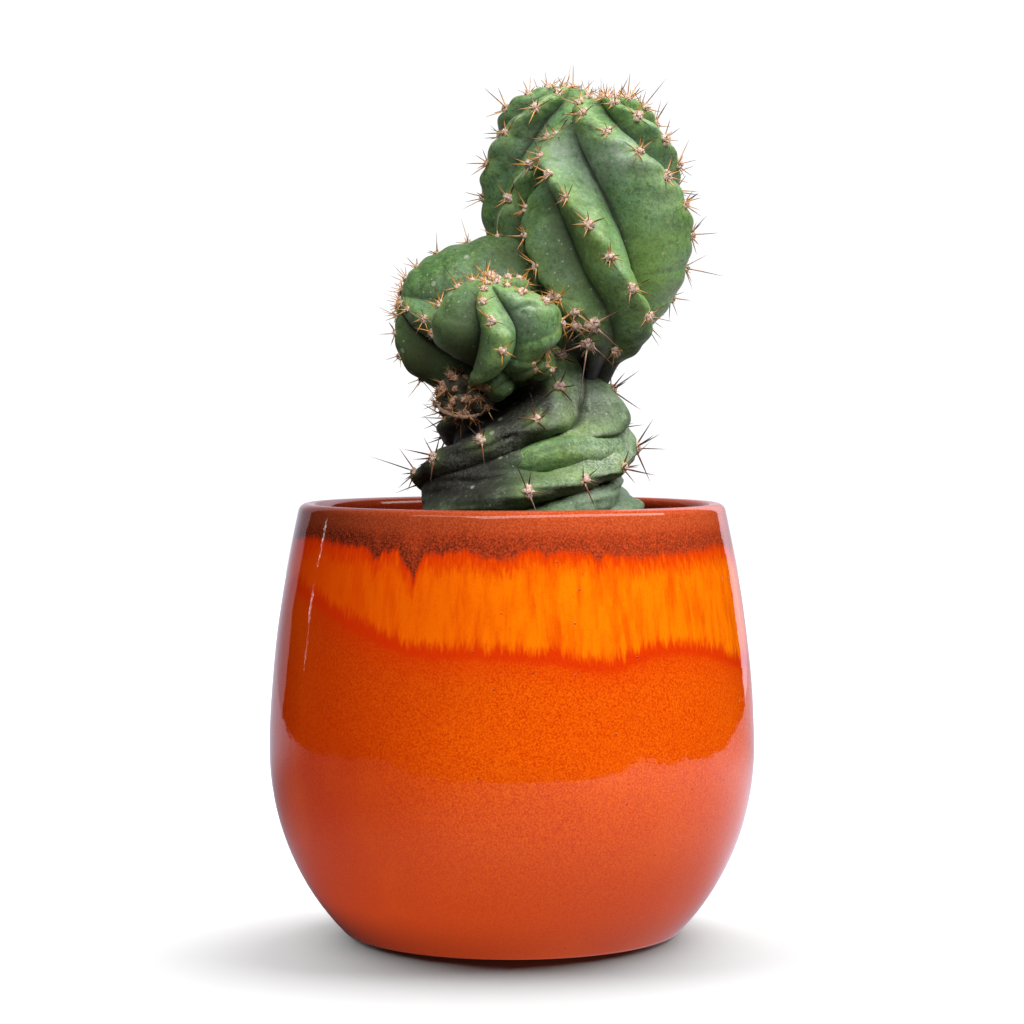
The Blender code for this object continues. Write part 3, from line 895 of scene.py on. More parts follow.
HEAD = Stem(
    heading=(0.0, 0.0, 1.0),
    levels=(
        (20, 1, 151, 6, 88), (22.5, -2, 157.5, 7.5, 80), (25, -5, 163, 14, 70), (26.5, -6, 171.5, 19, 52),
        (26.5, -7, 182, 21.8, 27), (26.5, -7, 195, 23.2, 5), (26.5, -6, 207, 21.8, -25),
        (26.5, -5, 217, 18.8, -63), (26.5, -4, 225, 14.5, -103), (26.8, -3, 230.5, 8.5, -145),
        (27, -3, 231.5, 3, -170, 0.6), (27, -3, 230.8, 0, -185, 0.2),
    ),
    ribs=(
        Rib(-90, 1.0, 0.66, 0.52, tone=-0.25),
        Rib(-20, 1.0, 0.46, 0.27),
        Rib(78, (0.6, 0.65, 0.78, 0.9, 0.98, 1.0, 1.0, 1.0, 1.0, 1.0, 1.0, 1.0), 0.46, 0.5),
        Rib(140, 0.97, 0.5),
        Rib(210, 0.95, 0.52),
    ),
    roundness=0.3,
    bare_base=0.2,
    looks=StemLooks(
        "head", 44, 220, SpineAge.GROWN, (5, 8), (3.6, 8.8), 0.23, 1.75, areole_gap=10.5, first_gap=2.6,
        bulge=0.8, relief=0.4, age_base=0.35, age_tip=0.0, seed=21,
        tufts=((12.3, 176.0, 0.8), (17.1, 172.3, 0.9), (21.9, 168.6, 1.6), (20.8, 163.6, 2.0),
               (28.1, 162.0, 1.1)),
        # The dark patch paints shade in the recess below the head; the dull green ones paint shade on the
        # concave face and above the recess; some pale waxy patches paint highlights on the upper flanks.
        patches={
            Look.SOOT: ((20, 157, 15, 8.5),),
            Look.FRESH: ((38, 184, 8, 13, 0.6), (22, 190, 4, 10, 0.3)),
            Look.BLOOM: ((12.5, 215.5, 6, 6.5), (29.5, 214.5, 8, 6.5, 0.9), (40, 204, 5, 9, 0.35),
                         (21, 204, 4, 12, 0.35)),
            Look.OLIVE: ((12, 185, 8, 19, 0.55), (20, 168, 10, 7, 0.6)),
        },
    ),
)

BACK_STEM = Stem(
    heading=(0.0, 0.0, 1.0),
    levels=(
        (9, 2, 146, 7, -156), (7.5, 9, 162, 14.2, -143), (8.5, 13, 180, 16.5, -128), (9, 14, 195, 17.6, -113),
        (9.3, 14, 207, 17.9, -94), (9.8, 14, 217.5, 17.4, -66), (10.6, 13.5, 226, 15.8, -38),
        (11.8, 13, 232, 12, -8), (13, 13, 235.3, 7, 10), (13.5, 12, 236.2, 3, 20, 0.6),
        (13.5, 12, 235.6, 0, 30, 0.2),
    ),
    ribs=tuple(Rib(bearing, 1.0, 0.58, lined=0.8) for bearing in (0, 62, 136, 208, 285)),
    roundness=0.4,
    bare_base=0.35,
    looks=StemLooks(
        "back_stem", 36, 180, SpineAge.GROWN, (4, 7), (3.6, 8.6), 0.23, 1.55, areole_gap=11.5, first_gap=4.0,
        bulge=1.1, groove=0.5, relief=0.5, age_base=0.4, age_tip=0.1, tone=-0.1, seed=31,
        # The dark and dull green patches are partly painted shade, the pale waxy one partly a painted
        # highlight.
        patches={
            Look.SOOT: ((6, 190, 6, 8, 0.5),),
            Look.BLOOM: ((3, 221, 10, 10, 0.35),),
            Look.OLIVE: ((0, 195, 12, 10, 0.5),),
        },
    ),
)

LEFT_SHOOT = Stem(
    heading=(-0.965, -0.12, 0.225),
    levels=(
        (8, 5, 168, 15, 0), (2, 4, 169.4, 20, 0), (-3.7, 3, 170.7, 22, 0), (-11.5, 2, 172.5, 22.3, 0),
        (-19.3, 1, 174.3, 20, 0), (-26, 0, 175.8, 15, 0), (-30, -1, 176.7, 8, 0), (-31, -1, 177, 3, 0, 0.6),
        (-30.8, -1, 176.9, 0, 0, 0.2),
    ),
    ribs=(
        Rib(90, (1.0, 1.0, 1.02, 1.0, 0.9, 0.83, 0.85, 1.0, 1.0), 0.5),
        Rib(150, 0.95, 0.55),
        Rib(212, 0.95, 0.55),
        Rib(272, (1.0, 1.0, 1.0, 0.98, 1.08, 1.2, 1.35, 1.2, 1.0), 0.62, tone=-0.2),
        Rib(342, 0.92, 0.6, 0.2, lined=0.7),
    ),
    roundness=0.5,
    bare_base=0.3,
    looks=StemLooks(
        "left_shoot", 40, 130, SpineAge.GROWN, (4, 6), (2.8, 6.2), 0.2, 1.15, bulge=0.6, groove=0.3,
        relief=0.45, age_base=0.3, age_tip=0.15, tone=-0.25, seed=41,
        creases=(Crease(((-1.2, 189.8), (-4.0, 187.5), (-7.9, 184.1)), 0.9, 1.0),),
        # The dark and dull green patches paint shade on the shoot's underside and beside its crease.
        patches={
            Look.SOOT: ((-8, 178, 5, 8, 0.3),),
            Look.OLIVE: ((-25, 160, 14, 11, 0.8), (-1, 188, 7, 7, 0.75)),
        },
    ),
)

FRONT_SHOOT = Stem(
    heading=(-0.06, -0.42, 0.905),
    levels=(
        (0, -6, 152.5, 6, -80), (-2, -13, 156, 9.2, -52), (-3, -19, 160.5, 14, -20),
        (-4, -22, 165.5, 16.7, -2), (-4.5, -25, 171, 16.5, 5), (-4.9, -27, 176, 13, -6),
        (-5.4, -28.5, 179.5, 6.8, -22),
        (-5.6, -28.8, 180.2, 2.5, -26, 0.6), (-5.6, -28.5, 179.6, 0, -26, 0.2),
    ),
    ribs=(
        Rib(0, (1.3, 1.25, 1.18, 1.1, 1.08, 1.05, 1.0, 1.0, 1.0), 0.5, 0.36),
        Rib(76, (0.55, 0.6, 0.78, 1.02, 1.1, 1.08, 1.0, 1.0, 1.0), 0.5, lined=0.5),
        Rib(144, 1.0, 0.55),
        Rib(206, 1.0, 0.55),
        Rib(272, (0.7, 0.8, 0.94, 1.02, 1.04, 1.04, 1.0, 1.0, 1.0), 0.52, 0.63, lined=0.9, tone=-0.3),
    ),
    roundness=0.6,
    bare_base=0.3,
    looks=StemLooks(
        "front_shoot", 40, 130, SpineAge.YOUNG, (4, 7), (2.4, 6.2), 0.21, 1.5, bulge=0.6, groove=0.3,
        relief=0.35, age_base=0.15, seed=51,
        creases=(Crease(((0.4, 171.5), (4.0, 173.6), (6.9, 173.1)), 0.6, 0.8),),
        # The dark and dull green patches paint shade on the globe's left and lower side; the pale waxy patch
        # paints a highlight on its top right.
        patches={
            Look.SOOT: ((-16, 156, 5, 5, 0.5),),
            Look.FRESH: ((5, 156, 8, 5, 0.5),),
            Look.BLOOM: ((3, 172, 5, 6, 0.6),),
            Look.OLIVE: ((-14, 167, 8, 10, 0.9), (-9, 158, 5, 5, 0.6)),
        },
    ),
)


class BudKind(Enum):
    """Whether a bud is a dried one, a green one or one that is all wool."""

    DRY = "dry"
    GREEN = "green"
    WOOLLY = "woolly"


BUD_LOOKS = {
    BudKind.DRY: StemLooks(
        "dry_bud", 14, 28, SpineAge.GROWN, (4, 7), (2.0, 6.0), 0.15, 1.4, areole_gap=5.4, bulge=0.3,
        relief=3.4, groove=0.0, age_base=1.0, age_tip=0.8, tone=-0.5, scatter=6,
    ),
    BudKind.GREEN: StemLooks(
        "green_bud", 16, 36, SpineAge.GROWN, (4, 6), (2.4, 5.0), 0.18, 1.3, areole_gap=6.0, bulge=0.3,
        relief=0.9, groove=0.0, age_base=0.8, age_tip=0.4, tone=-0.5,
    ),
    BudKind.WOOLLY: StemLooks(
        "woolly_bud", 14, 28, SpineAge.YOUNG, (4, 6), (1.6, 3.4), 0.14, 1.3, areole_gap=2.2, bulge=0.3,
        relief=0.8, groove=0.0, age_base=0.8, age_tip=0.4, tone=-0.4,
    ),
}
BUD_PROFILE = ((-0.9, 0.45), (-0.4, 0.95), (0.2, 1.0), (0.75, 0.62), (0.85, 0.0))
GREEN_BUD_BARE = (0.0, 0.0, 1.0, 1.0, 1.0)
BUD_PLACES = (
    (BudKind.DRY, -9, -18.5, 149.5, 4.2, (-0.3, -0.8, 0.2)),
    (BudKind.DRY, -14.5, -17, 152.5, 3.9, (-0.6, -0.7, 0.1)),
    (BudKind.DRY, -17.0, -13.5, 149, 4.0, (-0.9, -0.4, 0.1)),
    (BudKind.DRY, -13.0, -19, 147, 3.4, (-0.4, -0.9, -0.1)),
    (BudKind.GREEN, 7.2, -21, 158.3, 4.6, (0.85, -0.5, 0.1)),
    (BudKind.GREEN, 2.5, -23, 159.5, 5.4, (0.9, -0.4, -0.1)),
    (BudKind.WOOLLY, 21.5, -10, 162.5, 4.0, (0.0, -1.0, 0.0)),
    (BudKind.GREEN, -4.6, -20.8, 152.6, 4.8, (-0.6, -0.6, -0.5)),
)


def bud(kind: BudKind, number: int, x: float, y: float, z: float, size: float, heading: tuple) -> Stem:
    """A small round offset with five soft ribs.

    Args:
        kind: dried, green or woolly.
        number: its place in the row of buds, which also seeds it.
        x: centre along X.
        y: centre along Y.
        z: height of its centre.
        size: about half its width.
        heading: the way it points.

    Returns:
        The bud as a stem.
    """
    green = kind is BudKind.GREEN
    centre, way = np.array((x, y, z)), unit(np.array(heading)) * size
    levels = tuple((*(centre + way * rise), size * reach, 0) for rise, reach in BUD_PROFILE)
    ribs = tuple(Rib(72 * rib + 20, 1.0, 0.82, bare_base=bare if green else 0.0)
                 for rib, bare in enumerate(GREEN_BUD_BARE))
    looks = replace(BUD_LOOKS[kind], name=f"{kind.value}_bud_{number}", seed=60 + number)
    return Stem(heading, levels, ribs, 0.8, 0.8 if green else 0.3, looks)


BUDS = tuple(bud(place[0], number, *place[1:]) for number, place in enumerate(BUD_PLACES))

SKIN = SkinFinish("waxy_skin")
DRY_SKIN = SkinFinish("dry_bud_skin", "#2b2d1e", "#33352a", "#564f30", dark="#16120b", olive="#261d13")
SPINES = SpineFinish()
FELT = FeltFinish("areole_felt", "#ecd3c2", "#b18b74")
DRY_FELT = FeltFinish("dry_felt", "#d9ae90", "#7a4a33")
ORANGE_FELT = FeltFinish("orange_felt", "#e0b48c", "#a2683c")
DRY_STALK = FeltFinish("dry_stalk", "#b39274", "#6d4a33")


def shared(finish: Union[SkinFinish, SpineFinish, FeltFinish]) -> bpy.types.Material:
    """A finish's material, made once and then used again."""
    return bpy.data.materials.get(finish.name) or finish.material()


@dataclass
class Areole:
    """One areole: its place, the way it faces, its rib's direction, how far the tip is, and its size."""

    place: np.ndarray
    outward: np.ndarray
    along: np.ndarray
    from_tip: float
    size: float = 1.0


@dataclass
class RibbedStem:
    """Builds one stem's skin and finds its areoles.

    Columns of its skin's grid run round the ribs: a whole number is a crest, and from there the share grows
    from 0 to 1 in the furrow beside it. Rows run from the base, 0, to the tip, 1.
    """

    stem: Stem
    skin: SkinFinish = SKIN
    gap_growth: float = 1.45
    tip_lean: float = 0.6
    tip_lean_reach: float = 14.0
    usual_gap: float = 9.0
    swell_drop: float = 0.45
    groove_slant: float = 0.45
    groove_width: float = 0.9
    most_grooves: int = 80
    lumps: tuple = ((16.0, 0.6), (5.5, 0.22))
    front_margin: float = 2.0
    small_reach: float = 9.0
    size_spread: float = 0.7
    normal_share: float = 0.3
    tuft_from_tip: float = 50.0
    areoles: list = field(default_factory=list)

    def __post_init__(self) -> None:
        """Work out the stem's own directions and the grid of its skin."""
        self.looks, self.ribs = self.stem.looks, self.stem.ribs
        self.levels = [Level(*row) for row in self.stem.levels]
        self.heading = unit(np.array(self.stem.heading, dtype=float))
        front = np.array([0.0, -1.0, 0.0])
        self.front = unit(front - self.heading * front.dot(self.heading))
        self.right = np.cross(self.heading, self.front)
        columns = np.arange(len(self.ribs) * self.looks.columns) / self.looks.columns
        self.around, self.where = np.meshgrid(columns, np.linspace(0.0, 1.0, self.looks.rows))
        self.share = 2.0 * np.minimum(self.around % 1.0, 1.0 - self.around % 1.0)
        self.nearest = np.round(self.around).astype(int) % len(self.ribs)

    def level_values(self, name: str, where: np.ndarray) -> np.ndarray:
        """One of the levels' values along the stem."""
        return through([getattr(level, name) for level in self.levels], where)

    def centre(self, where: np.ndarray) -> np.ndarray:
        """The stem's centre line."""
        return np.stack([self.level_values(axis, where) for axis in "xyz"], axis=-1)

    def reach(self, share: Shares, where: np.ndarray) -> np.ndarray:
        """Reach of a crest or furrow along the stem.

        Args:
            share: its share of the levels' reach, one or one a level.
            where: positions from the base, 0, to the tip, 1.

        Returns:
            Distances from the centre line.
        """
        shares = share if isinstance(share, tuple) else (share,) * len(self.levels)
        share_here = 1.0 + (through(shares, where) - 1.0) * self.level_values("depth", where)
        return np.maximum(self.level_values("reach", where), 0.0) * share_here

    def crest_bearing(self, number: int, where: np.ndarray) -> np.ndarray:
        """Bearing in radians of a crest, whose number may run on past the last rib."""
        laps, index = divmod(number, len(self.ribs))
        return np.radians(self.ribs[index].bearing + 360.0 * laps + self.level_values("turn", where))

    def at(self, where: np.ndarray, bearing: np.ndarray, reach: np.ndarray) -> np.ndarray:
        """Places at a bearing and a reach from the centre line."""
        ahead, aside = (reach * np.cos(bearing))[..., None], (reach * np.sin(bearing))[..., None]
        return self.centre(where) + ahead * self.front + aside * self.right

    def bare_skin(self) -> np.ndarray:
        """The skin without relief.

        From a crest to the furrow beside it the bearing changes evenly, and the reach falls as a hyperbola,
        flat at the crest and straight towards the furrow.

        Returns:
            Places in millimetres.
        """
        places = np.zeros((*self.around.shape, 3))
        soft = self.stem.roundness
        fall = (np.sqrt(self.share ** 2 + soft ** 2) - soft) / (math.sqrt(1.0 + soft ** 2) - soft)
        for number, rib in enumerate(self.ribs):
            here = np.floor(self.around).astype(int) == number
            level, share = self.where[here], self.share[here]
            first, second = self.crest_bearing(number, level), self.crest_bearing(number + 1, level)
            following = self.ribs[(number + 1) % len(self.ribs)]
            near_first = self.around[here] % 1.0 < 0.5
            crest_bearing = np.where(near_first, first, second)
            reaches = self.reach(rib.strength, level), self.reach(following.strength, level)
            crest_reach = np.where(near_first, *reaches)
            bearing = crest_bearing + (first + (second - first) * rib.share - crest_bearing) * share
            reach = crest_reach + (self.reach(rib.furrow, level) - crest_reach) * fall[here]
            places[here] = self.at(level, bearing, reach)
        return places

    def areole_steps(self, number: int) -> tuple:
        """Where a rib's areoles lie: close together at the tip, and then at an even gap.

        Args:
            number: the rib's number.

        Returns:
            Positions along the stem, the distance from the tip at each, and the areoles' distances.
        """
        where = np.linspace(1.0, 0.0, 400)
        reach = self.reach(self.ribs[number].strength, where)
        line = self.at(where, self.crest_bearing(number, where), reach)
        travelled = np.concatenate([[0.0], np.cumsum(np.linalg.norm(np.diff(line, axis=0), axis=1))])
        wanted, step, distances = self.looks.first_gap, self.looks.first_gap, []
        while wanted < travelled[-1]:
            distances.append(wanted)
            step = min(step * self.gap_growth, self.looks.areole_gap)
            wanted += step
        return where, travelled, np.array(distances)

    def phase(self, number: int) -> tuple:
        """How many areoles a rib has passed on the way down from the tip, and the local gap between them.

        Args:
            number: the rib's number.

        Returns:
            Two columns of values, one a row of the grid.
        """
        steps, travelled, distances = self.areole_steps(number)
        distance = np.interp(self.where[:, :1], steps[::-1], travelled[::-1])
        marks = np.concatenate([[0.0], distances, [distances[-1] + self.looks.areole_gap * 4.0]])
        counts = np.concatenate([np.arange(len(distances) + 1), [len(distances) + 4.0]])
        return np.interp(distance, marks, counts), np.interp(distance, marks[1:-1], np.diff(marks)[:-1])

    def relief(self, places: np.ndarray) -> np.ndarray:
        """How far the skin stands out: swellings between areoles, slanted grooves, lumps and creases.

        With s from 0 at a crest to 1 in a furrow, swellings fade as (1 - s)^2 and grooves cut as
        16 s^2 (1 - s)^2, which is 1 halfway.

        Args:
            places: the points of the skin without relief.

        Returns:
            Heights in millimetres.
        """
        looks, share = self.looks, self.share
        height = np.zeros(share.shape)
        draw = np.random.default_rng(looks.seed)
        for number in range(len(self.ribs)):
            passed, gaps = self.phase(number)
            wave = np.sin(math.pi * passed) ** 2 - self.swell_drop
            swell = looks.bulge * np.minimum(gaps / self.usual_gap, 1.0) * wave
            slanted = passed - self.groove_slant * share
            off = np.abs(slanted - np.round(slanted)) * gaps
            order = np.clip(np.round(slanted).astype(int), 0, self.most_grooves - 1)
            strengths = draw.uniform(0.0, 1.0, self.most_grooves)[order]
            groove = looks.groove * strengths * bell(off, self.groove_width) * 16.0 * share ** 2
            height += np.where(self.nearest == number, (swell - groove) * (1.0 - share) ** 2, 0.0)
        for number, (length, part) in enumerate(self.lumps):
            height += looks.relief * part * waves(places, length, looks.seed + number)
        front = places[..., 1] < self.level_values("y", self.where) + self.front_margin
        for crease in looks.creases:
            height -= np.where(front, crease.fall(places), 0.0)
        return height * np.clip(self.level_values("reach", self.where) / self.small_reach, 0.0, 1.0)

    def build_skin(self) -> bpy.types.Object:
        """Make the skin and find the areoles on it.

        Returns:
            The skin, with the values that its finish reads.
        """
        looks, ribs = self.looks, self.ribs
        bare = self.bare_skin()
        normals = grid_normals(bare)
        grid = bare + normals * self.relief(bare)[..., None]
        self.find_areoles(grid, normals)
        halo = np.zeros(self.share.shape)
        for areole in self.areoles:
            distance = np.linalg.norm(grid - areole.place, axis=-1)
            halo = np.maximum(halo, bell(distance, looks.pad_radius * 1.7))
        level = self.where[:, 0]
        depths = [self.reach(rib.strength, level) - self.reach(rib.furrow, level) for rib in ribs]
        cut = np.take_along_axis(np.stack(depths, axis=1), np.floor(self.around).astype(int), axis=1)
        tones = np.array([rib.tone for rib in ribs])[self.nearest] * (1.0 - 0.5 * self.share)
        width = np.linalg.norm(np.roll(bare, -1, axis=1) - bare, axis=-1) * looks.columns / 2.0
        values = {
            "crest": 1.0 - self.share,
            # Furrow depth, which sets how strong the painted furrow shade is.
            "cut": np.clip(cut / 8.0, 0.0, 1.0),
            "tone": looks.tone + tones + 0.12 * waves(grid, 22.0, looks.seed + 2),
            "age": looks.age_base + (looks.age_tip - looks.age_base) * self.where,
            "halo": halo,
            "off_crest": self.share * width,
            "lined": np.array([rib.lined for rib in ribs])[self.nearest],
        }
        for look in Look:
            weights = [Patch(*row).weight(grid) for row in looks.patches.get(look, ())]
            values[look.value] = np.clip(sum(weights, np.zeros(self.share.shape)), 0.0, 1.0)
        writer = MeshWriter(looks.name, values)
        writer.add(grid[:-1], {name: value[:-1] for name, value in values.items()})
        return writer.finish(shared(self.skin))

    def find_areoles(self, grid: np.ndarray, normals: np.ndarray) -> None:
        """Place the areoles on the finished skin, from the tip down each rib to its bare base, and the tufts.

        Args:
            grid: the skin's points.
            normals: its normals without the relief.
        """
        looks = self.looks
        draw = np.random.default_rng(looks.seed + 400)
        for number, rib in enumerate(self.ribs):
            steps, travelled, distances = self.areole_steps(number)
            for spot, distance in zip(np.interp(distances, travelled, steps), distances):
                if spot < max(self.stem.bare_base, rib.bare_base):
                    continue
                column = number * looks.columns + int(draw.integers(-looks.scatter, looks.scatter + 1))
                size = 1.0 + (self.size_spread * draw.uniform(-1.0, 1.0) if looks.scatter else 0.0)
                row = spot * (looks.rows - 1)
                low = min(int(row), looks.rows - 2)
                place = grid[low, column] + (grid[low + 1, column] - grid[low, column]) * (row - low)
                along = unit(grid[min(low + 2, looks.rows - 1), column] - grid[max(low - 2, 0), column])
                away = unit(place - self.centre(np.array(spot)))
                away = unit(away + self.normal_share * normals[low, column])
                away = away + self.heading * self.tip_lean * max(0.0, 1.0 - distance / self.tip_lean_reach)
                outward = unit(away - along * away.dot(along))
                self.areoles.append(Areole(place, outward, along, distance, size))
        behind = np.where(normals[..., 1] < 0.2, 0.0, 1e3)
        for x, z, size in looks.tufts:
            off = np.hypot(grid[..., 0] - x, grid[..., 2] - z) + behind + 0.05 * grid[..., 1]
            spot = np.unravel_index(np.argmin(off), off.shape)
            along = unit(self.heading - normals[spot] * normals[spot].dot(self.heading))
            self.areoles.append(Areole(grid[spot], normals[spot], along, self.tuft_from_tip, size))


def tapers(feet: np.ndarray, aims: np.ndarray, lengths: np.ndarray, radii: np.ndarray, bends: np.ndarray,
           rows: int, sides: int) -> np.ndarray:
    """Slender bent cones: rings along a parabola whose radius shrinks towards the point.

    Args:
        feet: where each starts.
        aims: unit directions.
        lengths: lengths in millimetres.
        radii: radii at the foot.
        bends: sideways shift of the point, as vectors.
        rows: rings along each.
        sides: points round each ring.

    Returns:
        Points as (cone, row, column, xyz).
    """
    t = np.linspace(0.0, 0.97, rows)
    helper = np.where(np.abs(aims[:, 2:3]) < 0.9, np.array([[0.0, 0.0, 1.0]]), np.array([[1.0, 0.0, 0.0]]))
    first = unit(np.cross(aims, helper))
    second = np.cross(aims, first)
    straight = feet[:, None] + aims[:, None] * (lengths[:, None] * t)[..., None]
    middle = straight + bends[:, None] * (t ** 2)[:, None]
    radius = radii[:, None] * (1.0 - t ** 1.3) ** 0.85
    return middle[:, :, None] + rings(first, second, sides)[:, None] * radius[..., None, None]


@dataclass
class Armour:
    """Felt pads, wool and spines of a stem's areoles. Spines are small at the tip and full further down."""

    stem: RibbedStem
    lumps: int = 8
    lump_turn: float = 2.4
    wool_count: int = 10
    wool_radius: float = 0.08
    wool_bend: float = 0.35
    wool_spread_deg: tuple = (20.0, 85.0)
    swing_deg: float = 28.0
    leaning_deg: tuple = (35.0, 78.0)
    standing_deg: tuple = (4.0, 25.0)
    standing_length: float = 1.25
    spine_bend: float = 0.035
    full_size_at: float = 13.0
    tip_size: float = 0.6

    def __post_init__(self) -> None:
        """Gather the areoles' places, directions and growth as arrays."""
        self.looks = self.stem.looks
        names = ("place", "outward", "along", "from_tip", "size")
        lists = (np.array([getattr(areole, name) for areole in self.stem.areoles]) for name in names)
        self.place, self.outward, self.along, from_tip, size = lists
        self.side = np.cross(self.outward, self.along)
        growth = self.tip_size + (1.0 - self.tip_size) * from_tip / self.full_size_at
        self.growth = size * np.clip(growth, 0.0, 1.0)
        self.count = len(size)

    def lean(self, owner: np.ndarray, swing: np.ndarray) -> np.ndarray:
        """Directions in the skin's plane, at an angle round each owner's areole."""
        return self.along[owner] * np.cos(swing)[:, None] + self.side[owner] * np.sin(swing)[:, None]

    def aim(self, owner: np.ndarray, lean: np.ndarray, spread: np.ndarray) -> np.ndarray:
        """Directions that lean away from each owner's outward one by an angle in degrees."""
        angle = np.radians(spread)[:, None]
        return unit(self.outward[owner] * np.cos(angle) + lean * np.sin(angle))

    def pads(self, writer: MeshWriter) -> None:
        """Add a cushion of matted lumps at each areole: small uneven balls spread over a low dome.

        Args:
            writer: the piece that they are part of.
        """
        draw = np.random.default_rng(self.looks.seed + 100)
        size = self.looks.pad_radius * draw.uniform(0.8, 1.15, self.count) * (0.55 + 0.45 * self.growth)
        owner = np.repeat(np.arange(self.count), self.lumps)
        order = np.tile(np.arange(self.lumps), self.count)
        size, count = size[owner], len(owner)
        lean = self.lean(owner, order * self.lump_turn + draw.uniform(-0.5, 0.5, count))
        out = np.sqrt(order / self.lumps) * draw.uniform(0.75, 1.0, count)
        centre = self.place[owner] + lean * (out * size * 0.75)[:, None]
        centre = centre + self.outward[owner] * ((0.42 - 0.45 * out) * size)[:, None]
        radius = size * draw.uniform(0.34, 0.52, count)
        writer.add(balls(draw, centre, radius, (0.85, 1.15), (6, 8), 0.08))

    def wool(self, writer: MeshWriter) -> None:
        """Add short curved hairs round each pad.

        Args:
            writer: the piece that they are part of.
        """
        draw = np.random.default_rng(self.looks.seed + 200)
        owner = np.repeat(np.arange(self.count), self.wool_count)
        size, count = self.looks.pad_radius * self.growth[owner], len(owner)
        lean = self.lean(owner, draw.uniform(0.0, 2.0 * math.pi, count))
        aim = self.aim(owner, lean, draw.uniform(*self.wool_spread_deg, count))
        feet = self.place[owner] + (lean * 0.55 + self.outward[owner] * 0.25) * size[:, None]
        lengths = draw.uniform(0.5, 1.1, count) * size
        bends = draw.normal(size=(count, 3)) * self.wool_bend
        writer.add(tapers(feet, aim, lengths, np.full(count, self.wool_radius), bends, 3, 3))

    def spines(self, writer: MeshWriter) -> None:
        """Add the spines: a ring that leans out and one that stands up, each slightly bent.

        Args:
            writer: the piece that they are part of.
        """
        looks, rows, sides = self.looks, 6, 6
        draw = np.random.default_rng(looks.seed + 300)
        counts = draw.integers(looks.spine_count[0], looks.spine_count[1] + 1, self.count)
        owner = np.repeat(np.arange(self.count), counts)
        order = np.concatenate([np.arange(count) for count in counts])
        growth, total = self.growth[owner], len(owner)
        start = draw.uniform(0.0, 360.0, self.count)[owner]
        uneven = draw.uniform(-self.swing_deg, self.swing_deg, total)
        swing = np.radians(start + order * 360.0 / counts[owner] + uneven)
        leaning = draw.uniform(*self.leaning_deg, total)
        standing = draw.uniform(*self.standing_deg, total)
        lean = self.lean(owner, swing)
        aim = self.aim(owner, lean, np.where(order == 0, standing, leaning))
        feet = self.place[owner] + lean * (looks.pad_radius * 0.25 * growth)[:, None]
        low, high = looks.spine_length
        lengths = (low + (high - low) * draw.uniform(0.0, 1.0, total) ** 1.4) * growth
        lengths = np.where(order == 0, lengths * self.standing_length, lengths)
        radii = looks.spine_radius * draw.uniform(0.75, 1.15, total) * np.sqrt(growth)
        bends = draw.normal(size=(total, 3)) * lengths[:, None] * self.spine_bend
        age = looks.spine_age.value * (growth - self.tip_size) / (1.0 - self.tip_size)
        writer.add(tapers(feet, aim, lengths, radii, bends, rows, sides), {
            "along": np.linspace(0.0, 1.0, rows)[:, None],
            "shade": draw.uniform(0.0, 1.0, total)[:, None, None],
            "spine_age": np.clip(age, 0.0, 1.0)[:, None, None],
        })


@dataclass
class Plant:
    """The whole plant: stems, buds, felt, spines and a dry strand under the front shoot."""

    stems: tuple = (TRUNK, TRUNK_FOLD, HEAD, BACK_STEM, LEFT_SHOOT, FRONT_SHOOT)
    bud_dress: tuple = ((BudKind.DRY, DRY_SKIN, DRY_FELT), (BudKind.GREEN, SKIN, FELT),
                        (BudKind.WOOLLY, DRY_SKIN, ORANGE_FELT))
    strand: tuple = ((-17.5, -14.5, 149.5), (-19.8, -18.0, 146.5), (-15.5, -21.5, 144.2),
                     (-11.0, -22.5, 144.0), (-7.0, -18.5, 145.5))
    strand_radius: float = 0.55

    def dress(self, piece: bpy.types.Object) -> None:
        """Make a piece ride with the plant and stand for its solid.

        Args:
            piece: a skin, spines, felt or the strand.
        """
        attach(piece, "root")
        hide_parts("cactus")

    def grow(self, name: str, stems: list, felt: FeltFinish) -> None:
        """Make the skins of some stems, and one piece of spines and one of felt for them.

        Args:
            name: the start of the pieces' names.
            stems: the stems.
            felt: their felt.
        """
        for stem in stems:
            self.dress(stem.build_skin())
        armours = [Armour(stem) for stem in stems if stem.areoles]
        if not armours:
            return
        spines = MeshWriter(f"{name}_spines", ("along", "shade", "spine_age"))
        wool = MeshWriter(f"{name}_felt")
        for armour in armours:
            armour.spines(spines)
            armour.pads(wool)
            armour.wool(wool)
        self.dress(spines.finish(shared(SPINES)))
        self.dress(wool.finish(shared(felt)))

    def build(self) -> None:
        """Make every piece of the plant."""
        for stem in self.stems:
            self.grow(stem.looks.name, [RibbedStem(stem)], FELT)
        for kind, skin, felt in self.bud_dress:
            buds = [RibbedStem(stem, skin) for stem in BUDS if stem.looks.name.startswith(kind.value)]
            self.grow(f"{kind.value}_buds", buds, felt)
        self.dress(self.build_strand())

    def build_strand(self) -> bpy.types.Object:
        """Make the dry curved strand: rings along a smooth curve, thinner at its ends.

        Returns:
            The strand.
        """
        t = np.linspace(0.0, 1.0, 40)
        line = through(self.strand, t)
        way = unit(np.gradient(line, axis=0))
        first = unit(np.cross(way, np.array([0.0, 0.0, 1.0])))
        second = np.cross(first, way)
        radius = self.strand_radius * (0.6 + 0.4 * np.sin(math.pi * t)) * (1.0 + 0.15 * np.sin(21.0 * t))
        writer = MeshWriter("dry_strand")
        writer.add(line[:, None] + rings(first, second, 8) * radius[:, None, None])
        return writer.finish(shared(DRY_STALK))


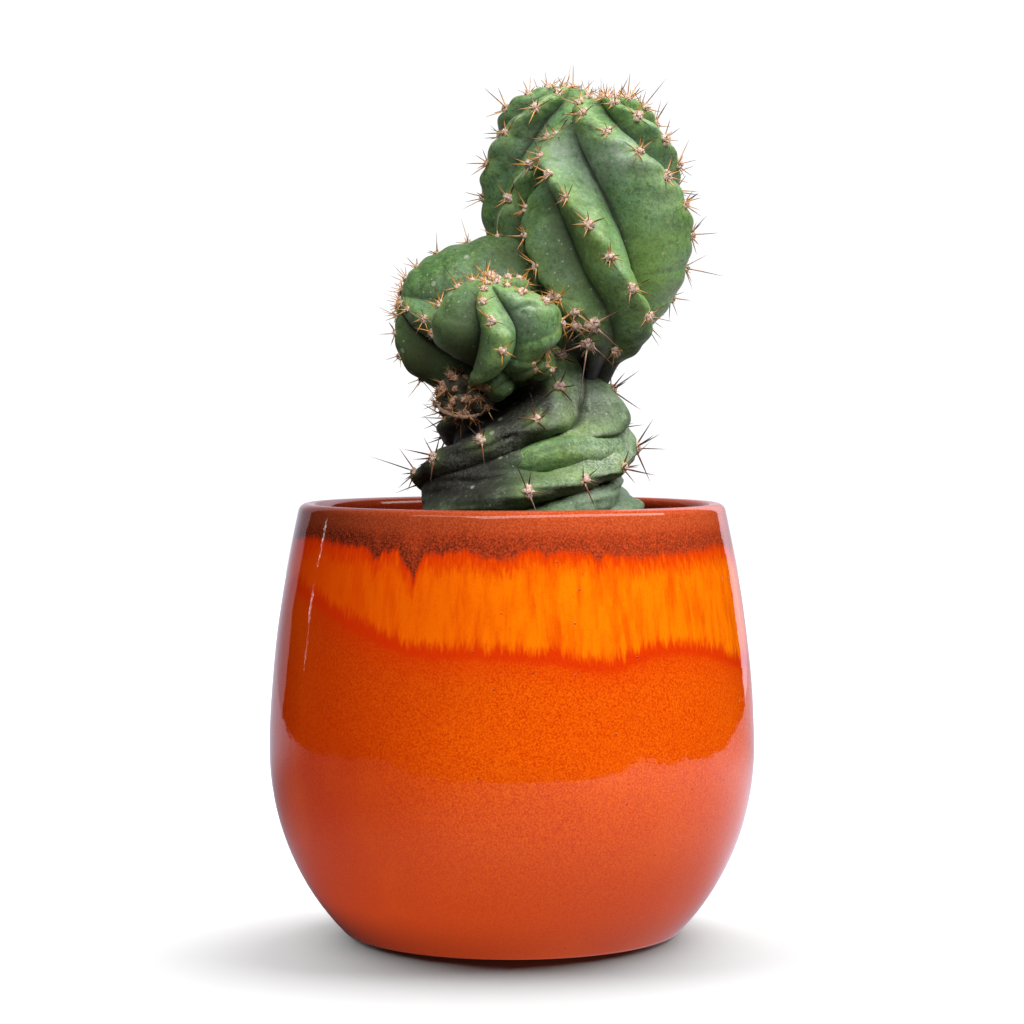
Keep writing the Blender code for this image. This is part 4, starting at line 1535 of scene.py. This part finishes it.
@dataclass
class GlazedPot:
    """The round pot: sizes of its section, and the heights that its glaze ran to.

    The dark band's waves are rows of size, how many go round, and start. Its drips are rows of bearing, drop
    and half width, the last in degrees.
    """

    height: float = 120.0
    belly_radius: float = 67.4
    belly_height: float = 52.0
    belly_drop: float = 70.5
    shoulder_inset: float = 8.6
    shoulder_power: float = 1.8
    wall: float = 5.2
    lip_radius: float = 2.5
    floor: float = 7.0
    floor_round: float = 4.0
    foot_radius: float = 40.0
    foot_ring: float = 6.0
    foot_hollow: float = 1.6
    foot_height: float = 1.2
    lowest_belly: float = 1.6
    pole_radius: float = 2.0
    columns: int = 300
    wave_height: float = 0.05
    wave_length: float = 26.0
    band_height: float = 109.0
    band_waves: tuple = ((0.7, 3.0, 2.4), (0.5, 7.0, 0.6))
    run_heights: tuple = (101, 97, 91, 86, 85.5, 84.5, 82, 85.5, 84, 80, 79, 80, 83, 87, 90, 88, 85, 87,
                          92, 90, 86, 84, 88, 95)
    run_start: float = -68.0
    swell: tuple = (-66.0, -3.6, 17.0)
    drips: tuple = ((-35.0, 3.4, 1.3), (-25.0, 4.6, 2.6), (-24.0, 2.6, 1.0), (-17.5, 1.6, 1.0),
                    (-3.0, 1.8, 5.0), (8.5, 1.4, 1.2), (21.0, 1.8, 1.1), (75.0, 2.0, 2.0),
                    (118.0, 3.5, 2.2), (160.0, 2.0, 1.8), (205.0, 3.4, 2.4), (248.0, 2.0, 1.8),
                    (270.0, 2.4, 2.0))

    def outer(self, height: np.ndarray) -> np.ndarray:
        """Outer radius: an ellipse below the belly and a slower power curve above it.

        Args:
            height: heights above the table.

        Returns:
            The radius at each.
        """
        sunk = (self.belly_height - height) / self.belly_drop
        low = self.belly_radius * np.sqrt(np.maximum(1.0 - sunk ** 2, 0.0))
        rise = np.clip((height - self.belly_height) / (self.height - self.belly_height), 0.0, 1.2)
        high = self.belly_radius - self.shoulder_inset * rise ** self.shoulder_power
        return np.where(height < self.belly_height, low, high)

    def profile(self) -> tuple:
        """The section as radius and height, from the underside up the outside, over the lip and down inside.

        Returns:
            Radii, heights and 1 for each point on the inside.
        """
        ring, foot_r, hollow = self.foot_radius - self.foot_ring, self.foot_radius, self.foot_hollow
        foot = [(self.pole_radius, hollow), (ring - 4.0, hollow), (ring - 1.0, hollow), (ring - 0.2, 0.15),
                (ring, 0.0), (ring + 0.3, 0.0), (foot_r - 0.8, 0.0), (foot_r - 0.3, 0.15), (foot_r, 0.6),
                (foot_r, self.foot_height)]
        lip_z = self.height - self.lip_radius
        shoulder = self.height - self.belly_height
        steepness = self.shoulder_inset * self.shoulder_power / shoulder
        slope = math.atan(steepness * ((lip_z - self.belly_height) / shoulder) ** (self.shoulder_power - 1))
        start_z = lip_z + self.lip_radius * math.sin(slope)
        heights = self.lowest_belly + (start_z - self.lowest_belly) * np.linspace(0.0, 1.0, 150)
        belly = list(zip(self.outer(heights), heights))
        middle = belly[-1][0] - self.lip_radius * math.cos(slope)
        angles = np.linspace(slope, math.pi, 22)[1:]
        lip = [(middle + self.lip_radius * math.cos(angle), lip_z + self.lip_radius * math.sin(angle))
               for angle in angles]
        inner_z = np.linspace(self.height - 2.0 * self.lip_radius, self.floor + self.floor_round, 36)
        inside = list(zip(self.outer(inner_z) - self.wall, inner_z))
        floor_edge = float(self.outer(np.array(self.floor))) - self.wall
        inside += [(floor_edge - 0.5 * self.floor_round, self.floor + 0.2 * self.floor_round),
                   (floor_edge - 1.5 * self.floor_round, self.floor), (self.pole_radius, self.floor)]
        section = np.array(foot + belly + lip + inside)
        outside = np.zeros(len(foot) + len(belly) + len(lip) // 2)
        over = np.linspace(0.0, 1.0, len(lip) - len(lip) // 2)
        inner = np.concatenate([outside, over, np.ones(len(inside))])
        return section[:, 0], section[:, 1], inner

    def run_line(self, bearing: np.ndarray) -> np.ndarray:
        """Height of the glaze run's lower edge round the pot: a closed smooth curve through its heights."""
        turn = ((np.degrees(bearing) - self.run_start) % 360.0) / 360.0
        return through((*self.run_heights, self.run_heights[0]), turn)

    def band_line(self, bearing: np.ndarray) -> np.ndarray:
        """Height of the dark band's lower edge: nearly level, with slow waves, a broad bell and blunt drips.

        Args:
            bearing: bearings in radians.

        Returns:
            The height at each.
        """
        degrees, line = np.degrees(bearing), self.band_height
        for size, count, start in self.band_waves:
            line = line + size * np.sin(count * bearing + start)
        for power, drips in ((2, (self.swell,)), (4, self.drips)):
            for centre, drop, width in drips:
                off = (degrees - centre + 180.0) % 360.0 - 180.0
                line = line - drop * np.exp(-((off / width) ** power))
        return line

    def build(self) -> bpy.types.Object:
        """Turn the section, with the slight waviness of a thrown and dipped pot.

        Returns:
            The pot.
        """
        radius, height, inner = (part[:, None] for part in self.profile())
        bearing = turns(self.columns)
        turned = spun(radius, bearing, height)
        steady = np.clip((height - 3.0) / 12.0, 0.0, 1.0) * np.clip((119.0 - height) / 6.0, 0.0, 1.0)
        uneven = self.wave_height * waves(turned, self.wave_length, 3) * steady
        grid = turned + spun(1.0, bearing, 0.0) * uneven[..., None]
        values = {
            "above_run": height - self.run_line(bearing),
            "above_band": height - self.band_line(bearing),
            "height": height,
            "inner": inner,
            # A painted shade mask: strongest on the left, away from the key light, with slight waves.
            "side": np.clip(0.15 + 0.75 * np.sin(-bearing - 0.1) + 0.12 * waves(turned, 60.0, 8), 0.0, 1.0),
        }
        writer = MeshWriter("glazed_pot_body", values)
        writer.add(grid, values)
        piece = writer.finish(GlazeFinish("running_glaze").material())
        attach(piece, "root")
        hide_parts("glazed_pot")
        return piece


@dataclass
class PottingSoil:
    """The crumbly top of the fill and its loose crumbs."""

    pot: GlazedPot
    level: float = 108.3
    relief: float = 0.7
    lumps: tuple = ((30.0, 0.5), (7.0, 0.25), (2.4, 0.3))
    clearance: float = 0.5
    bottom: float = 96.0
    columns: int = 180
    rings: int = 60
    crumbs: int = 900
    crumb_size: tuple = (0.5, 1.5)
    crumb_rise: float = 0.2
    crumbed_area: float = 0.94
    hole_radius: float = 20.0
    seed: int = 71

    def edge(self, height: float) -> float:
        """Radius of the fill at a height, just inside the pot's wall."""
        return float(self.pot.outer(np.array(height))) - self.pot.wall - self.clearance

    def surface_height(self, x: np.ndarray, y: np.ndarray) -> np.ndarray:
        """Height of the soil: its level with swells, clods and grains from sine waves.

        Args:
            x: places along X.
            y: places along Y.

        Returns:
            The height at each.
        """
        places = np.stack([x, y, 0.0 * x], axis=-1)
        heights = (part * waves(places, length, self.seed + number)
                   for number, (length, part) in enumerate(self.lumps))
        return self.level + self.relief * sum(heights)

    def build(self) -> bpy.types.Object:
        """Make the soil: a closed disc whose top follows the surface height.

        Returns:
            The soil.
        """
        edge = self.edge(self.level)
        bearing = turns(self.columns)
        radius = np.concatenate([[1.0, self.edge(self.bottom)], np.linspace(edge, 1.0, self.rings)])[:, None]
        x, y = radius * np.sin(bearing), -radius * np.cos(bearing)
        z = self.surface_height(x, y)
        z[:2] = self.bottom
        writer = MeshWriter("soil_body")
        writer.add(np.stack([x, y, z], axis=-1))
        self.add_crumbs(writer, edge)
        piece = writer.finish(SoilFinish("potting_mix").material())
        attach(piece, "root")
        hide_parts("potting_soil")
        return piece

    def add_crumbs(self, writer: MeshWriter, edge: float) -> None:
        """Scatter crumbs: small balls of uneven radius, half sunk in the surface.

        Args:
            writer: the piece that they are part of.
            edge: radius of the surface.
        """
        draw = np.random.default_rng(self.seed + 9)
        radius = np.sqrt(draw.uniform((self.hole_radius / edge) ** 2, self.crumbed_area, self.crumbs)) * edge
        bearing = draw.uniform(0.0, 2.0 * math.pi, self.crumbs)
        x, y = radius * np.sin(bearing), -radius * np.cos(bearing)
        size = draw.uniform(*self.crumb_size, self.crumbs) * draw.uniform(0.5, 1.0, self.crumbs)
        centre = np.stack([x, y, self.surface_height(x, y) + size * self.crumb_rise], axis=-1)
        writer.add(balls(draw, centre, size, (0.65, 1.25), (4, 6), 0.15, -0.5 * math.pi))


@dataclass(frozen=True)
class Softbox:
    """A rectangular studio light: where it stands as seen from the plant, its size and its power."""

    name: str
    bearing: float
    elevation: float
    distance: float
    size: tuple
    power: float

    def build(self, target: Vector) -> bpy.types.Object:
        """Make the light, turned to face a target.

        Args:
            target: the place that it faces, in metres.

        Returns:
            The light.
        """
        away = towards(self.bearing, self.elevation)
        lamp = light(self.name, "AREA", self.power, away)
        lamp.data.shape = "RECTANGLE"
        lamp.data.size, lamp.data.size_y = self.size
        lamp.location = target + away * self.distance
        return lamp


@dataclass
class Studio:
    """Pale floor, soft lights, dark flags and glowing cards that only reflections see, and the camera."""

    floor_front: float = -0.37
    floor_side: float = 0.56
    floor_back: float = 1.6
    floor_level: float = -0.0001
    floor_colour: str = "#686868"
    reflection_drop: float = 0.0005
    bounce_level: float = -0.001
    bounce_hole: float = 0.002
    bounce_radius: float = 0.22
    bounce_strength: float = 1.1
    ground_level: float = -0.01
    ground_hole: float = 0.05
    flag_radius: float = 2.4
    flag_colour: str = "#0a0a0a"
    flag_edges_deg: tuple = (-136.0, 142.0)
    card_edges_deg: tuple = (-179.0, 179.0)
    shell_elevations_deg: tuple = (-12.0, 90.0)
    arc_points: int = 49
    rise_points: int = 25
    left_glow: tuple = (0.5, 0.8)
    right_glow: tuple = (1.8, 0.8)
    table_glow: tuple = (0.25, 1.9, 0.8)
    glow_tint: str = "#f3eeff"
    sky_strength: float = 1.05
    floor_lights: tuple = ((-125.0, 45.0, 20.6), (125.0, 45.0, 28.2))
    floor_light_spread_deg: float = 75.0
    camera_distance: float = 0.75
    camera_height: float = 0.1475
    camera_tilt_deg: float = 2.3
    focal_pixels: float = 2698.0
    image_width: float = 1024.0
    sensor: float = 36.0
    target_height: float = 0.13
    softboxes: tuple = (
        Softbox("key_softbox", 38.0, 50.0, 1.0, (2.2, 0.5), 31.0),
        Softbox("fill_softbox", -40.0, 42.0, 1.0, (0.6, 0.24), 2.2),
        Softbox("upper_strip", -114.5, 7.1, 1.2, (0.009, 0.042), 0.014),
        Softbox("middle_strip", -114.5, 2.4, 1.2, (0.009, 0.062), 0.02),
        Softbox("lower_strip", -114.5, -0.9, 1.2, (0.007, 0.045), 0.005),
    )

    def matt(self, board: Board, colour: str, tint: str, glow: Value) -> bpy.types.Material:
        """A matt material of one colour that may glow."""
        return board.finish(Base_Color=colour, Roughness=1.0, Specular_IOR_Level=0.0, Emission_Color=tint,
                            Emission_Strength=glow)

    def card_material(self, name: str, side_glow: float, back_glow: float) -> bpy.types.Material:
        """A card whose glow changes smoothly from its side edge to its back edge.

        Args:
            name: the material's name.
            side_glow: strength at the side.
            back_glow: strength at the back.

        Returns:
            The material.
        """
        board = Board(name)
        back = board.axis("Y").step(0.8 * self.flag_radius, 0.97 * self.flag_radius)
        return self.matt(board, "#000000", self.glow_tint, back * (back_glow - side_glow) + side_glow)

    def table_glow_material(self) -> bpy.types.Material:
        """The table's glow in the glaze: dim on the left, bright on the right, and fading at the foot as a
        painted shadow of the pot.

        Returns:
            The material.
        """
        board = Board("table_glow")
        left, right, back = self.table_glow
        x, y = board.axis("X"), board.axis("Y")
        side = x.step(-0.2, 0.35) * (right - left) + left
        behind = y.step(0.08, 0.4)
        out = board.math("SQRT", x * x + y * y)
        # Painted shadow: the glow dims round the pot's foot.
        fade = 1.0 - (1.0 - out.step(0.045, 0.12)) * (0.92 - x.step(-0.02, 0.04) * 0.5)
        return self.matt(board, "#000000", self.glow_tint, (side * (1.0 - behind) + behind * back) * fade)

    def sheet(self, name: str, rows: np.ndarray, material: bpy.types.Material,
              unseen: tuple = ("camera",)) -> bpy.types.Object:
        """Make an open sheet through rows of points.

        Args:
            name: its name.
            rows: points in metres as (row, column, xyz).
            material: its finish.
            unseen: the kinds of rays that don't see it.

        Returns:
            The sheet.
        """
        mesh = bpy.data.meshes.new(name)
        height, width = rows.shape[:2]
        number = np.arange(height * width).reshape(height, width)
        faces = np.stack([number[:-1, :-1], number[:-1, 1:], number[1:, 1:], number[1:, :-1]], axis=-1)
        mesh.from_pydata(rows.reshape(-1, 3).tolist(), [], faces.reshape(-1, 4).tolist())
        mesh.materials.append(material)
        thing = show(name, mesh)
        for rays in unseen:
            setattr(thing, f"visible_{rays}", False)
        return thing

    def disc(self, edges: tuple, radii: tuple, height: float) -> np.ndarray:
        """Points of a flat ring sector between two bearings in degrees and two radii, at a height."""
        around, out = np.meshgrid(np.radians(np.linspace(*edges, self.arc_points)), np.array(radii))
        return spun(out, around, height)

    def build_floor(self) -> bpy.types.Object:
        """Make the pale table top that the camera sees, a card for its bounce and one for its reflection.

        Returns:
            The table top.
        """
        sides, ends = (-self.floor_side, self.floor_side), (self.floor_front, self.floor_back)
        x, y = np.meshgrid(np.array(sides), np.array(ends))
        grid = np.stack([x, y, 0.0 * x + self.floor_level], axis=-1)
        paper = self.matt(Board("floor_paper"), self.floor_colour, "#ffffff", 0.0)
        floor = self.sheet("studio_floor", grid, paper, ("diffuse", "glossy"))
        lower = grid - np.array([0.0, 0.0, self.reflection_drop])
        self.sheet("table_reflection", lower, self.table_glow_material(), ("camera", "diffuse"))
        white = self.matt(Board("card_white"), "#000000", "#ffffff", self.bounce_strength)
        ring = self.disc((0.0, 360.0), (self.bounce_hole, self.bounce_radius), self.bounce_level)
        self.sheet("bounce_card", ring, white, ("camera", "glossy"))
        return floor

    def shell(self, name: str, edges: tuple, material: bpy.types.Material) -> bpy.types.Object:
        """Part of a ball round the plant, from below the table's level to the top.

        Args:
            name: its name.
            edges: bearings of its two sides in degrees.
            material: its finish.

        Returns:
            The shell.
        """
        bearings = np.linspace(*edges, self.arc_points)
        elevations = np.linspace(*self.shell_elevations_deg, self.rise_points)
        around, up = np.meshgrid(np.radians(bearings), np.radians(elevations))
        return self.sheet(name, spun(np.cos(up), around, np.sin(up)) * self.flag_radius, material)

    def build_flags(self) -> list:
        """Make the dark flags round the front and above, and a glowing card behind on each side.

        Returns:
            All four.
        """
        black = self.matt(Board("flag_black"), self.flag_colour, "#ffffff", 0.0)
        (left, right), (back_left, back_right) = self.flag_edges_deg, self.card_edges_deg
        ground = self.disc((left, right), (self.ground_hole, self.flag_radius), self.ground_level)
        return [
            self.shell("dark_shell", (left, right), black),
            self.sheet("dark_ground", ground, black),
            self.shell("left_card", (back_left, left), self.card_material("left_glow", *self.left_glow)),
            self.shell("right_card", (right, back_right), self.card_material("right_glow", *self.right_glow)),
        ]

    def linked(self, name: str, things: Iterable, state: str) -> bpy.types.Collection:
        """Make a collection that includes or excludes some objects from a light's rays or shadows.

        Args:
            name: its name.
            things: the objects.
            state: INCLUDE or EXCLUDE.

        Returns:
            The collection.
        """
        group = bpy.data.collections.new(name)
        for thing in things:
            group.objects.link(thing)
        for entry in group.collection_objects:
            entry.light_linking.link_state = state
        return group

    def light_floor(self, floor: bpy.types.Object, flags: list) -> None:
        """Add broad even lights from behind on both sides, for the floor alone, round a soft shadow.

        Args:
            floor: the table top.
            flags: what these lights pass through.
        """
        receivers = self.linked("floor_alone", [floor], "INCLUDE")
        blockers = self.linked("flags_let_through", flags, "EXCLUDE")
        for bearing, elevation, strength in self.floor_lights:
            lamp = light("floor_light", "SUN", strength, towards(bearing, elevation))
            lamp.data.angle = math.radians(self.floor_light_spread_deg)
            lamp.light_linking.receiver_collection = receivers
            lamp.light_linking.blocker_collection = blockers

    def build_camera(self) -> None:
        """Set the camera at the photo's place, tilt and field of view."""
        data = bpy.data.cameras.new("photo_camera")
        data.sensor_width = self.sensor
        data.lens = self.focal_pixels / self.image_width * self.sensor
        camera = show("photo_camera", data)
        camera.location = (0.0, -self.camera_distance, self.camera_height)
        camera.rotation_euler = (math.radians(90.0 - self.camera_tilt_deg), 0.0, 0.0)
        bpy.context.scene.camera = camera

    def build(self) -> None:
        """Make the whole studio."""
        self.build_camera()
        floor = self.build_floor()
        flags = self.build_flags()
        beyond_floor = self.linked("all_but_floor", [floor], "EXCLUDE")
        for softbox in self.softboxes:
            lamp = softbox.build(Vector((0.0, 0.0, self.target_height)))
            lamp.light_linking.receiver_collection = beyond_floor
        self.light_floor(floor, flags)
        world = bpy.data.worlds.new("white_room")
        world.use_nodes = True
        sky = world.node_tree.nodes["Background"]
        sky.inputs["Color"].default_value = (1.0, 1.0, 1.0, 1.0)
        sky.inputs["Strength"].default_value = self.sky_strength
        bpy.context.scene.world = world
        bpy.context.scene.view_settings.view_transform = "Standard"


def main() -> None:
    """Build the studio, the pot, the soil and the plant."""
    logging.basicConfig(level=logging.INFO, format="%(name)s %(message)s")
    Studio().build()
    pot = GlazedPot()
    pot.build()
    PottingSoil(pot).build()
    Plant().build()


if __name__ == "__main__":
    main()
